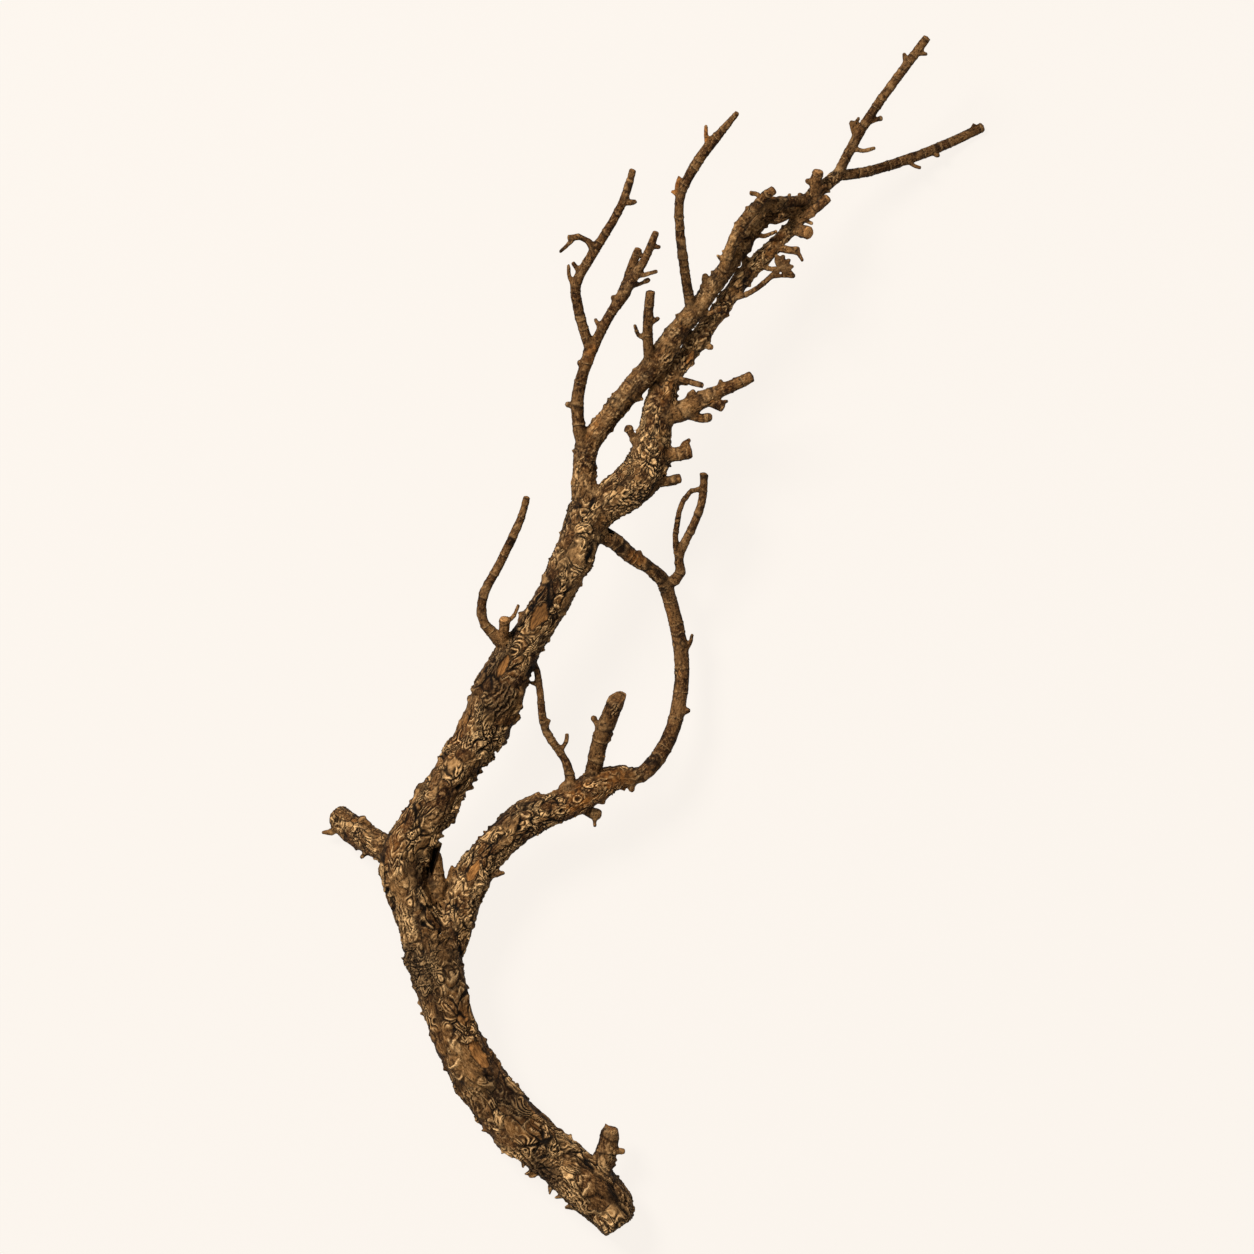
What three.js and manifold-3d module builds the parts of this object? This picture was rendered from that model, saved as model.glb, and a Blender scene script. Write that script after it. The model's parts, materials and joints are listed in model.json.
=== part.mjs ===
// A fallen tree branch, lying on a flat surface at z = 0.
// Millimetres. +Z is up, +Y runs from the butt to the tips, +X is to the right seen from above.
// It rests on the underside of its butt, on its left stub and on the tip of its right-hand top twig.
import * as THREE from 'three';
import { mergeVertices } from 'three/addons/utils/BufferGeometryUtils.js';
import Module from 'manifold-3d';

const wasm = await Module();
wasm.setup();

// Driving dimensions.
const FORK_GAP = 0.3;
const STEP_PER_RADIUS = 0.85;
const SHORTEST_STEP = 5;
const BARK_WAVE = 0.045;
const THICK_RADIUS = 5;
const ROUND_TIP_RISE = 0.4;
const ROUND_TIP_TAPER = 0.35;
const CUT_BLOCK = 80;
const FLOOR_BLOCK = 1200;

const bark = () => new THREE.MeshStandardMaterial({ color: '#79603f', roughness: 0.92, metalness: 0 });
const youngBark = () => new THREE.MeshStandardMaterial({ color: '#80603a', roughness: 0.8, metalness: 0 });
const bareWood = () => new THREE.MeshStandardMaterial({ color: '#b98f5c', roughness: 0.85, metalness: 0 });

// Every length of wood between two forks, in the order it is cut to its neighbours.
// path: points on its centre line as [x, y, z, radius]. onto: the lengths it grows from and is cut back to.
// tip: round for a weathered end, flat for a sawn or snapped one. cuts: planes as [point, outward direction].
const LENGTHS = {
  trunk: {
    sides: 12, tip: 'flat', material: bark,
    path: [
      [9, -5, 11.5, 11], [2, 7.5, 12, 13], [-7, 19.5, 12.4, 13.6], [-22, 31.5, 13.4, 11.9],
      [-36, 44.8, 15, 12], [-45.4, 56.6, 16.5, 10.9], [-55, 69.6, 18, 10.6], [-63.3, 84.5, 19.5, 10.3],
      [-67.6, 99, 21, 10], [-70.8, 112, 22, 11.6], [-73.5, 122, 22.5, 13.2],
    ],
    cuts: [
      [[11.4, 14, 12], [1, 0.03, 0.1]],
      [[0.4, 0.8, 12], [0.52, -0.85, 0.1]],
      [[0.4, 0.8, 12], [-0.65, -0.76, 0.1]],
    ],
  },
  main_limb: {
    sides: 12, tip: 'flat', material: bark, onto: ['trunk'],
    path: [
      [-73, 118.5, 22.5, 9.6], [-76, 127, 23, 11.4], [-79.5, 136, 24, 9.4], [-83, 146, 25, 9],
      [-85.8, 155, 26, 10], [-85, 163.5, 27, 10], [-80, 173, 28.5, 9.4], [-73.5, 181.5, 30, 8.9],
      [-67.5, 191, 31.5, 8.3], [-59.7, 204, 33.5, 8.7], [-52, 216, 35, 9.9], [-46, 227.5, 36.5, 10.9],
      [-41.2, 240, 38, 10], [-34, 252, 40, 8.1], [-27, 263, 41, 7.6], [-20.7, 274, 42, 7.9],
      [-14, 287, 43, 8.2], [-9.5, 298, 44, 8.4], [-7, 309, 44.5, 9],
    ],
  },
  left_stub: {
    sides: 10, tip: 'round', material: bark, onto: ['main_limb'],
    path: [
      [-86, 162, 25, 6.4], [-94.4, 165.6, 21.5, 6.2], [-100, 168.4, 16.5, 5.8],
      [-106.4, 172, 9.8, 5.8], [-111.4, 176, 5.2, 5.7], [-113.8, 178.4, 4, 5.3],
    ],
  },
  trunk_spur: {
    sides: 9, tip: 'flat', material: bark, onto: ['trunk'],
    path: [[-3, 24, 14, 5], [-0.5, 33, 15.5, 4.6], [1.6, 40, 16.8, 4.2], [2, 46.5, 18, 3.6]],
    cuts: [[[1, 46, 18], [-0.25, 1, 0.3]]],
  },
  right_limb: {
    sides: 12, tip: 'flat', material: bark, onto: ['trunk', 'main_limb'],
    path: [
      [-69, 115, 22, 7], [-66, 125, 22, 7.6], [-63.3, 133, 22.3, 7.6], [-60.5, 142, 22.8, 7.6],
      [-57, 151, 23.5, 8.1], [-52, 159.5, 24.5, 7.7], [-45.5, 167, 25.5, 7.2],
      [-38.5, 173.5, 26.5, 7.8], [-32, 178, 27, 8.2], [-25, 181, 27.5, 7.3], [-17.5, 183, 28, 6.3],
      [-10.5, 187, 28.5, 6.6], [-4, 191.5, 28.8, 7], [2.5, 194.5, 28.3, 5.6], [8, 195.5, 27.4, 4.6],
      [13, 195.2, 26.5, 3.9],
    ],
  },
  crotch_stub: {
    sides: 9, tip: 'round', material: bark, onto: ['trunk', 'main_limb', 'right_limb'],
    path: [
      [-71.5, 118, 22.5, 3.4], [-71.2, 135, 23, 3.8], [-70.9, 149, 24, 3.3], [-71.4, 157, 25, 2.8],
      [-71.8, 162.5, 26, 2.4],
    ],
  },
  right_limb_stub: {
    sides: 8, tip: 'round', material: bark, onto: ['right_limb'],
    path: [[-11.5, 184, 27, 2.6], [-7, 180.6, 25.6, 2.3], [-2.6, 179.2, 24.6, 2.1]],
  },
  upright_stub: {
    sides: 9, tip: 'flat', material: youngBark, onto: ['right_limb'],
    path: [[-6, 192, 29, 3.4], [-2.1, 210.5, 37, 3.4], [1.8, 220.5, 42, 3.6], [6.6, 232, 47.5, 3.4]],
    cuts: [[[5.5, 228.5, 46.5], [-0.1, 0.62, 0.78]]],
  },
  loop_branch: {
    sides: 9, tip: 'flat', material: youngBark, onto: ['right_limb'],
    path: [
      [10.5, 195.3, 26.9, 3.3], [15.5, 196.2, 26, 3.5], [22.5, 203.5, 24, 3.3], [28.3, 214.5, 21, 3.15],
      [31.7, 228.5, 18.5, 3.05], [32.6, 244, 17.5, 3.05], [30.5, 258.5, 19, 3], [27.5, 270, 22, 2.9],
      [25.2, 278, 25.5, 3.2],
    ],
  },
  loop_arm: {
    sides: 9, tip: 'flat', material: youngBark, onto: ['loop_branch', 'main_limb'],
    path: [
      [25.9, 275.5, 24.5, 2.5], [23.6, 279.6, 27, 2.9], [17.8, 284.4, 30.5, 2.7], [10.5, 289, 35, 3.2],
      [3.5, 295.3, 39.5, 3.5], [-4, 298, 43, 3.3],
    ],
  },
  loop_twig: {
    sides: 7, tip: 'flat', material: youngBark, onto: ['loop_branch', 'loop_arm'],
    path: [
      [25.6, 276, 24.8, 2], [30.3, 279.3, 27.5, 2.3], [32.4, 283.2, 30, 2.1], [30.8, 287.6, 31.5, 2],
      [32.5, 292, 32.5, 1.75], [36.3, 299.5, 35, 1.7], [41, 312, 38, 1.6], [41.8, 323.5, 40, 1.6],
    ],
  },
  loop_twig_fine: {
    sides: 7, tip: 'flat', material: youngBark, onto: ['loop_twig'],
    path: [
      [30.9, 287.8, 31.6, 1.3], [29.6, 295, 34.5, 1.15], [30.4, 302, 37.4, 1.1],
      [32.2, 310.4, 40, 1.05], [35.6, 315.6, 41, 1], [41, 317.3, 39.2, 0.9],
    ],
  },
  thin_twig: {
    sides: 7, tip: 'flat', material: youngBark, onto: ['right_limb', 'main_limb'],
    path: [
      [-14, 187, 29.5, 2.6], [-14.6, 194, 30.6, 2.3], [-16, 200.5, 31.4, 1.7],
      [-19.6, 206.5, 32.2, 1.6], [-25.4, 215.8, 34, 1.6], [-27.4, 230.8, 36, 1.45],
      [-29.2, 242, 38, 1.3], [-33.5, 249, 39.6, 1.2],
    ],
  },
  left_twig: {
    sides: 7, tip: 'flat', material: youngBark, onto: ['main_limb'],
    path: [
      [-38.6, 245, 39.5, 4], [-44.2, 253.4, 42.5, 3.4], [-48, 256.8, 44.2, 2.3],
      [-51.4, 261, 45.8, 1.95], [-52.1, 266.6, 47, 1.9], [-50.7, 274, 49, 1.85],
      [-46.4, 281.4, 50.5, 1.85], [-41.6, 290.8, 52, 1.8], [-37.4, 299.6, 54, 1.7],
      [-34.4, 307.1, 56, 1.45], [-32.9, 313.4, 58, 1.4],
    ],
  },
  left_cut_stub: {
    sides: 9, tip: 'flat', material: bareWood, onto: ['left_twig', 'main_limb'],
    path: [[-43, 251, 42.5, 2], [-42.4, 258.4, 47.5, 2.2], [-42.2, 262.4, 50, 2.1]],
  },
  left_upper_branch: {
    sides: 10, tip: 'flat', material: bark, onto: ['main_limb'],
    path: [
      [-7.5, 305.5, 44.5, 6.4], [-8.4, 313, 44.8, 6], [-8.8, 320, 45.5, 5.1], [-8.8, 327.5, 46.5, 4.8],
      [-6.8, 336, 47.5, 5.2], [-0.4, 344.2, 48.5, 4.4], [7.6, 354.6, 49.5, 4.7], [15.6, 363.6, 50, 5],
      [22.4, 371, 50.5, 5.2], [27.8, 379.4, 51, 4.7], [33.2, 386.4, 51, 4.3], [39, 393.4, 50, 4],
      [44.2, 400.2, 48.5, 3.7], [49.4, 407.4, 47, 3.7], [54.4, 414.6, 45, 3.6],
      [59.2, 420.8, 43.5, 3.6], [61.6, 426, 42.5, 3.1], [65.4, 430, 41, 2.9], [71, 432.6, 39.5, 2.7],
      [77.4, 434, 36.5, 2.6], [84, 436.2, 32, 2.3],
    ],
  },
  right_upper_branch: {
    sides: 10, tip: 'flat', material: bark, onto: ['main_limb', 'left_upper_branch', 'loop_arm'],
    path: [
      [-5, 303.5, 44.3, 6.6], [-0.5, 309.5, 44.5, 8], [7.5, 315.5, 44.5, 9.4], [15.6, 322.8, 44.5, 9.8],
      [19.4, 331.6, 44.8, 8.4], [20.8, 341.5, 45, 7], [23, 352, 45, 6.7], [25.6, 361.2, 44.5, 5.6],
      [30, 368, 44, 4.6], [34.4, 373.4, 43.5, 4.1], [39, 379, 43, 3.9], [43.8, 386.6, 42.5, 3.8],
      [50, 394.6, 42, 3.8], [56.4, 404, 41, 3.9], [63, 411.2, 39.5, 3.6], [68.8, 416.6, 38, 3.4],
      [73.6, 422.4, 36.5, 3.1], [77.6, 426.2, 35, 3], [82, 431.4, 33, 3.1], [85.6, 437.4, 31, 3.3],
      [89.4, 443, 28.8, 3.4], [95, 447, 26.6, 2.9], [98.6, 450, 25.4, 2.7],
    ],
  },
  burl_stub_upper: {
    sides: 9, tip: 'flat', material: bark, onto: ['right_upper_branch'],
    path: [[17, 330.5, 45, 3.4], [29, 331.4, 47, 2.9], [36.4, 332.6, 48, 2.8]],
  },
  burl_stub_lower: {
    sides: 8, tip: 'flat', material: bark, onto: ['right_upper_branch'],
    path: [[16, 320, 45, 2.8], [25, 320, 46, 2.1], [32, 321.4, 46.6, 1.9]],
  },
  side_branch: {
    sides: 9, tip: 'flat', material: bark, onto: ['right_upper_branch'],
    path: [
      [22, 349, 45.2, 5], [31.6, 349.4, 46.5, 4.5], [38, 352.8, 47.8, 3.8], [44, 356, 49, 3.1],
      [51.6, 359.4, 50.4, 2.5], [62, 364.2, 52, 2.4],
    ],
  },
  side_branch_stub_near: {
    sides: 7, tip: 'round', material: bark, onto: ['side_branch', 'right_upper_branch'],
    path: [[33.4, 350, 46.6, 2.2], [39.8, 346.6, 46.6, 1.9], [44.4, 347.2, 47, 1.8]],
  },
  side_branch_stub_far: {
    sides: 7, tip: 'flat', material: bark, onto: ['side_branch'],
    path: [[42.6, 355, 48.6, 2.2], [47, 352.4, 48.8, 2], [50, 351, 49, 1.8]],
  },
  crossing_twig: {
    sides: 7, tip: 'flat', material: youngBark, onto: ['right_upper_branch'],
    path: [[28.5, 364, 45.4, 1.5], [34, 362.4, 48, 1.2], [41.4, 360.4, 50, 1]],
  },
  short_twig: {
    sides: 7, tip: 'flat', material: youngBark, onto: ['left_upper_branch'],
    path: [[19.2, 368, 51, 2.4], [18.2, 377, 56, 2.2], [18, 387, 60, 2.05], [19.2, 399.6, 64.5, 1.95]],
  },
  tall_twig: {
    sides: 7, tip: 'flat', material: youngBark, onto: ['left_upper_branch'],
    path: [
      [36.8, 390.6, 50.5, 2.3], [35.2, 398.5, 54.5, 2.1], [33.6, 408, 58.5, 2], [31.4, 426, 65, 1.85],
      [31.6, 439.4, 69.6, 1.95], [34.6, 446.2, 71.6, 2], [39.6, 454.6, 73, 2.2], [45.2, 462, 75, 2.1],
      [50, 467.4, 76.5, 1.5], [55.6, 474, 78, 1],
    ],
  },
  fork_twig: {
    sides: 7, tip: 'flat', material: youngBark, onto: ['left_upper_branch'],
    path: [
      [-7.6, 332.5, 47.5, 2.9], [-10.2, 339, 50.5, 2.8], [-11.5, 349.4, 53.6, 2.6],
      [-11, 358.8, 56, 2.6], [-8.5, 367.4, 58.6, 2.4], [-5.6, 376, 61, 2.8],
    ],
  },
  fork_twig_left: {
    sides: 7, tip: 'flat', material: youngBark, onto: ['fork_twig'],
    path: [
      [-5.8, 374, 60.4, 2.2], [-8.9, 383.6, 63.6, 2.1], [-11.3, 393, 66.4, 2.1],
      [-12.4, 401.8, 69, 2.2], [-9.4, 408, 71, 2], [-5.6, 414.2, 73, 2], [-2.2, 419.6, 75, 1.9],
      [3, 427.8, 77, 1.75], [8.4, 438.4, 80, 1.65], [11.8, 449.8, 82, 1.4],
    ],
  },
  fork_twig_left_side: {
    sides: 6, tip: 'flat', material: youngBark, onto: ['fork_twig_left'],
    path: [
      [-4.4, 416, 73.8, 1.5], [-7.4, 420.8, 75.4, 1.3], [-10.2, 422, 76, 1.25],
      [-15.4, 421.4, 76.6, 1.2],
    ],
  },
  fork_twig_right: {
    sides: 7, tip: 'flat', material: youngBark, onto: ['fork_twig', 'fork_twig_left'],
    path: [
      [-5.4, 374.4, 60.6, 2.1], [-1.6, 383, 63, 2.1], [3.3, 391.6, 65.4, 2.05], [8.2, 399, 67.4, 2.6],
      [11.2, 409.4, 69, 1.9], [14.2, 417.4, 71, 1.5],
    ],
  },
  fork_twig_far: {
    sides: 7, tip: 'flat', material: youngBark, onto: ['fork_twig_right'],
    path: [
      [8.2, 398, 67.6, 1.9], [11.6, 404.2, 71.4, 1.85], [15, 409.4, 73.8, 1.75], [18, 415.4, 76, 1.65],
      [21.6, 424, 78.6, 1.35],
    ],
  },
  bundle_strand: {
    sides: 8, tip: 'flat', material: bark, onto: ['left_upper_branch', 'right_upper_branch'],
    path: [
      [47.8, 404.6, 47.5, 2.1], [51.2, 413.6, 52, 2.3], [54.4, 422, 54, 2.4], [58.2, 429.2, 53, 2.5],
      [63.2, 434.6, 50.5, 2.5], [72.2, 437.6, 46, 2.4], [79.2, 438.2, 41.5, 2.3],
      [87.8, 439.6, 30.6, 2],
    ],
  },
  bundle_stub_side: {
    sides: 8, tip: 'flat', material: bark, onto: ['bundle_strand'],
    path: [[61.7, 433, 51.2, 2], [66.6, 439.4, 54, 1.9], [71.2, 442.6, 56, 1.8]],
  },
  bundle_stub_long: {
    sides: 8, tip: 'flat', material: bareWood, onto: ['right_upper_branch', 'left_upper_branch'],
    path: [[82.5, 432, 33, 2], [88, 434.6, 37, 1.9], [94.2, 440, 40, 1.9]],
  },
  bundle_stub_round: {
    sides: 9, tip: 'flat', material: bareWood, onto: ['right_upper_branch', 'bundle_stub_long'],
    path: [[78.4, 427, 34.6, 2.4], [82.8, 426, 38, 2.6], [86, 425, 42, 2.8]],
  },
  bundle_stub_flat: {
    sides: 8, tip: 'flat', material: bareWood, onto: ['right_upper_branch', 'bundle_strand'],
    path: [[89.4, 441.2, 30, 2.3], [88.8, 446.2, 33.4, 2.3], [90.2, 451.6, 35.6, 2.3]],
  },
  bundle_stub_flared: {
    sides: 7, tip: 'flat', material: bark, onto: ['right_upper_branch'],
    path: [[70.6, 419.2, 37.4, 1.5], [76.6, 418, 40, 1.5], [82, 417.4, 41, 1.7]],
  },
  bundle_twig_fine: {
    sides: 7, tip: 'round', material: youngBark, onto: ['right_upper_branch'],
    path: [
      [52, 396.6, 42, 1.3], [58.4, 398.4, 44.6, 1.05], [65, 402, 46, 1], [71, 407.4, 47.4, 1],
      [75.2, 411.2, 48.4, 1],
    ],
  },
  top_twig_left: {
    sides: 7, tip: 'flat', material: youngBark, onto: ['right_upper_branch'],
    path: [
      [98.1, 449.2, 25.6, 2.1], [101.1, 455.6, 27.4, 2], [106.2, 465.2, 31, 1.95],
      [113.9, 477.6, 36, 1.9], [122.1, 488.8, 41, 1.85], [130.3, 499.8, 45, 1.85],
      [135.7, 507, 48, 1.65],
    ],
  },
  top_twig_right: {
    sides: 7, tip: 'flat', material: youngBark, onto: ['right_upper_branch', 'top_twig_left'],
    path: [
      [97, 449.8, 25.6, 2.2], [104, 450.6, 23, 2.2], [111.8, 452, 19.5, 2.15],
      [126.1, 456.6, 12.4, 2.15], [138.4, 461.2, 7.2, 2.1], [149, 466, 3.2, 2], [154.6, 468.6, 1.8, 2],
      [161, 471.8, 1.6, 1.9],
    ],
  },
};

// The radius at a place along a path, where place runs from 0 to the number of the last point.
function radiusAt(path, place) {
  const before = Math.min(Math.floor(place), path.length - 2);
  const part = place - before;
  const eased = part * part * (3 - 2 * part);
  return THREE.MathUtils.lerp(path[before][3], path[before + 1][3], eased);
}

// Gentle, repeatable lumps around and along a thick length. Thin twigs stay round.
function barkWave(radius, angle, along) {
  if (radius < THICK_RADIUS) return 1;
  return 1 + BARK_WAVE * (Math.sin(3 * angle + along / 9) + 0.6 * Math.sin(5 * angle - along / 6));
}

// Rings of a swept length: centre, direction, radius and points. grow makes the length fatter and longer.
function ringsOf({ path, sides }, grow) {
  const places = path.map(([x, y, z]) => new THREE.Vector3(x, y, z));
  const curve = new THREE.CatmullRomCurve3(places, false, 'centripetal');
  const length = curve.getLength();
  const meanRadius = path.reduce((sum, point) => sum + point[3], 0) / path.length;
  const steps = Math.max(3, Math.round(length / Math.max(SHORTEST_STEP, STEP_PER_RADIUS * meanRadius)));
  const frames = curve.computeFrenetFrames(steps);
  const rings = [];
  for (let i = 0; i <= steps; i += 1) {
    const centre = curve.getPointAt(i / steps);
    const direction = frames.tangents[i];
    if (i === 0) centre.addScaledVector(direction, -grow);
    if (i === steps) centre.addScaledVector(direction, grow);
    const place = curve.getUtoTmapping(i / steps) * (path.length - 1);
    const radius = radiusAt(path, place);
    const points = [];
    for (let k = 0; k < sides; k += 1) {
      const angle = (2 * Math.PI * k) / sides;
      const reach = radius * barkWave(radius, angle, (length * i) / steps) + grow;
      const point = centre.clone();
      point.addScaledVector(frames.normals[i], reach * Math.cos(angle));
      point.addScaledVector(frames.binormals[i], reach * Math.sin(angle));
      points.push(point);
    }
    rings.push({ centre, direction, radius, points });
  }
  return rings;
}

// A weathered end: one smaller ring beyond the last one.
function roundTipRing({ centre, direction, radius, points }) {
  const rise = direction.clone().multiplyScalar(radius * ROUND_TIP_RISE);
  const drawnIn = points.map((point) => point.clone().lerp(centre, ROUND_TIP_TAPER).add(rise));
  return { centre: centre.clone().add(rise), direction, radius, points: drawnIn };
}

// One closed body from a list of rings, with a fan across each end.
function skinOver(rings) {
  const sides = rings[0].points.length;
  const last = rings.length - 1;
  const corners = rings.flatMap((ring) => ring.points);
  const startCentre = corners.push(rings[0].centre) - 1;
  const endCentre = corners.push(rings[last].centre) - 1;
  const index = [];
  for (let i = 0; i < last; i += 1) {
    for (let k = 0; k < sides; k += 1) {
      const next = (k + 1) % sides;
      const [a, b, c, d] = [i * sides + k, i * sides + next, (i + 1) * sides + next, (i + 1) * sides + k];
      index.push(a, b, c, a, c, d);
    }
  }
  for (let k = 0; k < sides; k += 1) {
    const next = (k + 1) % sides;
    index.push(startCentre, next, k);
    index.push(endCentre, last * sides + k, last * sides + next);
  }
  const geometry = new THREE.BufferGeometry();
  geometry.setAttribute('position', new THREE.Float32BufferAttribute(corners.flatMap((p) => p.toArray()), 3));
  geometry.setIndex(index);
  return geometry;
}

function lengthGeometry(length, grow = 0) {
  const rings = ringsOf(length, grow);
  if (length.tip === 'round') rings.push(roundTipRing(rings[rings.length - 1]));
  return skinOver(rings);
}

function solidFrom(geometry) {
  const bare = geometry.clone();
  bare.deleteAttribute('normal');
  bare.deleteAttribute('uv');
  const merged = mergeVertices(bare);
  const vertProperties = new Float32Array(merged.attributes.position.array);
  const triVerts = new Uint32Array(merged.index.array);
  return new wasm.Manifold(new wasm.Mesh({ numProp: 3, vertProperties, triVerts }));
}

function geometryFrom(solid) {
  const mesh = solid.getMesh();
  const geometry = new THREE.BufferGeometry();
  geometry.setAttribute('position', new THREE.BufferAttribute(new Float32Array(mesh.vertProperties), 3));
  geometry.setIndex(new THREE.BufferAttribute(new Uint32Array(mesh.triVerts), 1));
  geometry.computeVertexNormals();
  return geometry;
}

// A block whose one face lies on a plane and which fills the side that the plane's direction points to.
function blockBeyond([point, outward]) {
  const direction = new THREE.Vector3(...outward).normalize();
  const block = new THREE.BoxGeometry(CUT_BLOCK, CUT_BLOCK, CUT_BLOCK);
  block.translate(0, 0, CUT_BLOCK / 2);
  block.applyQuaternion(new THREE.Quaternion().setFromUnitVectors(new THREE.Vector3(0, 0, 1), direction));
  block.translate(...point);
  return solidFrom(block);
}

function floorBlock() {
  const block = new THREE.BoxGeometry(FLOOR_BLOCK, FLOOR_BLOCK, FLOOR_BLOCK);
  block.translate(0, 0, -FLOOR_BLOCK / 2);
  return solidFrom(block);
}

// One length of wood, cut back from the lengths it grows from, by its own cut planes and at the floor.
function cutLength(length, floor) {
  let solid = solidFrom(lengthGeometry(length));
  for (const parent of length.onto ?? []) {
    solid = solid.subtract(solidFrom(lengthGeometry(LENGTHS[parent], FORK_GAP)));
  }
  for (const plane of length.cuts ?? []) {
    solid = solid.subtract(blockBeyond(plane));
  }
  return solid.subtract(floor);
}

function fallenBranch() {
  const branch = new THREE.Group();
  const floor = floorBlock();
  for (const [name, length] of Object.entries(LENGTHS)) {
    const mesh = new THREE.Mesh(geometryFrom(cutLength(length, floor)), length.material());
    mesh.name = name;
    branch.add(mesh);
  }
  const box = new THREE.Box3().setFromObject(branch);
  const middle = box.getCenter(new THREE.Vector3());
  branch.position.set(-middle.x, -middle.y, -box.min.z);
  return branch;
}

export default fallenBranch();
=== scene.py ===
import heapq
import math

import bpy
import numpy as np
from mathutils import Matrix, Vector
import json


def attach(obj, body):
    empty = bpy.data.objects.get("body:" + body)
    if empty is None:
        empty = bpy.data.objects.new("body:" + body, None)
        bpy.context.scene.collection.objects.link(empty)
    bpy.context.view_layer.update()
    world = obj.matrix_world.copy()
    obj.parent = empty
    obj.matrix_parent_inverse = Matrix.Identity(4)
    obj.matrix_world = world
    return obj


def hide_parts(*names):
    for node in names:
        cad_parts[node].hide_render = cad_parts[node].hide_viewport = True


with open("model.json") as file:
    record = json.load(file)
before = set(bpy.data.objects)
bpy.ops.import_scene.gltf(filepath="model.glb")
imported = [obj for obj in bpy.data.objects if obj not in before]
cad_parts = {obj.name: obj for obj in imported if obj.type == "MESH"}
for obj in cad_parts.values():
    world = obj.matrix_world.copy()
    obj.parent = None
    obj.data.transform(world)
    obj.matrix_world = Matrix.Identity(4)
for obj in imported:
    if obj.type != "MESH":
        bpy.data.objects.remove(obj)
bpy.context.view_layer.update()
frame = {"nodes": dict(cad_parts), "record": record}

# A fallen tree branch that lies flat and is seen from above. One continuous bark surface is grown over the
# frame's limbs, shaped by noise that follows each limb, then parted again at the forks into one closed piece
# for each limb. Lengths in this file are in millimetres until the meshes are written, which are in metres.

rng = np.random.default_rng(20)

CELL = 0.5    # spacing of the surface's points
SWELL = 0.3                          # outward push that closes the gaps at the forks
STATION = 0.5                        # spacing of the points along a centre line
FORK_BLEND = 3.0                     # width over which two limbs share their bark at a fork
SMOOTH_ROUNDS = 14
EASED_FULLY = 9.0                    # limb radius, for the easing of the joined surface
LEAST_EASE, MOST_EASE = 0.06, 0.6
HELD = 0.8                           # share of the easing that a flake is spared
CALMED = 0.65                        # share of the bark's height that a flake is spared
SMALL_ISLAND = 150                   # quads below which an island joins its neighbour's piece
LIMB_SHIFT = 37.0                    # offset of the noise from one limb to the next
METRES = 0.001                       # one millimetre

# What each limb grows from. The trunk is the foot of them all.
PARENT = {
    "trunk": None,
    "trunk_spur": "trunk",
    "main_limb": "trunk",
    "left_stub": "main_limb",
    "right_limb": "trunk",
    "crotch_stub": "trunk",
    "right_limb_stub": "right_limb",
    "upright_stub": "right_limb",
    "loop_branch": "right_limb",
    "loop_arm": "loop_branch",
    "loop_twig": "loop_branch",
    "loop_twig_fine": "loop_twig",
    "thin_twig": "right_limb",
    "left_twig": "main_limb",
    "left_cut_stub": "main_limb",
    "left_upper_branch": "main_limb",
    "right_upper_branch": "main_limb",
    "burl_stub_upper": "right_upper_branch",
    "burl_stub_lower": "right_upper_branch",
    "side_branch": "right_upper_branch",
    "side_branch_stub_near": "side_branch",
    "side_branch_stub_far": "side_branch",
    "crossing_twig": "right_upper_branch",
    "short_twig": "left_upper_branch",
    "tall_twig": "left_upper_branch",
    "fork_twig": "left_upper_branch",
    "fork_twig_left": "fork_twig",
    "fork_twig_left_side": "fork_twig_left",
    "fork_twig_right": "fork_twig",
    "fork_twig_far": "fork_twig_right",
    "bundle_strand": "left_upper_branch",
    "bundle_stub_side": "bundle_strand",
    "bundle_stub_long": "right_upper_branch",
    "bundle_stub_round": "right_upper_branch",
    "bundle_stub_flat": "right_upper_branch",
    "bundle_stub_flared": "right_upper_branch",
    "bundle_twig_fine": "right_upper_branch",
    "top_twig_left": "right_upper_branch",
    "top_twig_right": "right_upper_branch",
}

# Scattered marks: kind, how many on 100 mm of limb, and the ranges of half length, half width and strength.
# Lengths are in limb radii, and so is the strength of a bump or a pit.
SCATTERED = [
    ("smooth", 1.6, (0.9, 1.5), (0.35, 0.55), (0.5, 0.8)),
    ("dark", 2.2, (1.0, 2.4), (0.35, 0.75), (0.4, 0.75)),
    ("bare", 0.8, (0.35, 0.8), (0.22, 0.38), (0.3, 0.8)),
    ("pit", 0.8, (0.20, 0.26), (0.16, 0.22), (0.12, 0.2)),
    ("bump", 2.0, (0.35, 1.2), (0.3, 0.6), (0.1, 0.2)),
    ("knot", 0.7, (0.5, 0.62), (0.42, 0.55), (0.6, 1.1)),
    ("folds", 0.7, (0.6, 1.0), (0.6, 1.0), (0.4, 0.8)),
    ("arcs", 1.3, (0.65, 1.0), (0.5, 0.9), (0.5, 0.9)),
    ("warm", 0.8, (0.8, 2.2), (0.4, 0.8), (0.3, 0.6)),
    # pale specks are painted glints
    ("pale", 0.7, (0.6, 1.6), (0.4, 0.7), (0.5, 0.9)),
]
ON_TWIGS = ("dark", "bump", "pale")                      # the kinds that a thin limb has
TWIG, STOUT = 2.5, 8.0                                   # mean radii of a thin limb and of a thick one
SWOLLEN = 1.1                                            # radius over its surroundings that makes a burl
WORN = {"right_limb": 0.8, "loop_arm": 0.7, "fork_twig": 0.7}   # limbs worn to golden wood, and how strongly
SPROUTS = {"point": 0.5, "bud": 0.28, "cut": 0.14, "round": 0.08}   # ends of the side growth, and their odds

# ---------------------------------------------------------------- numbers

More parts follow.
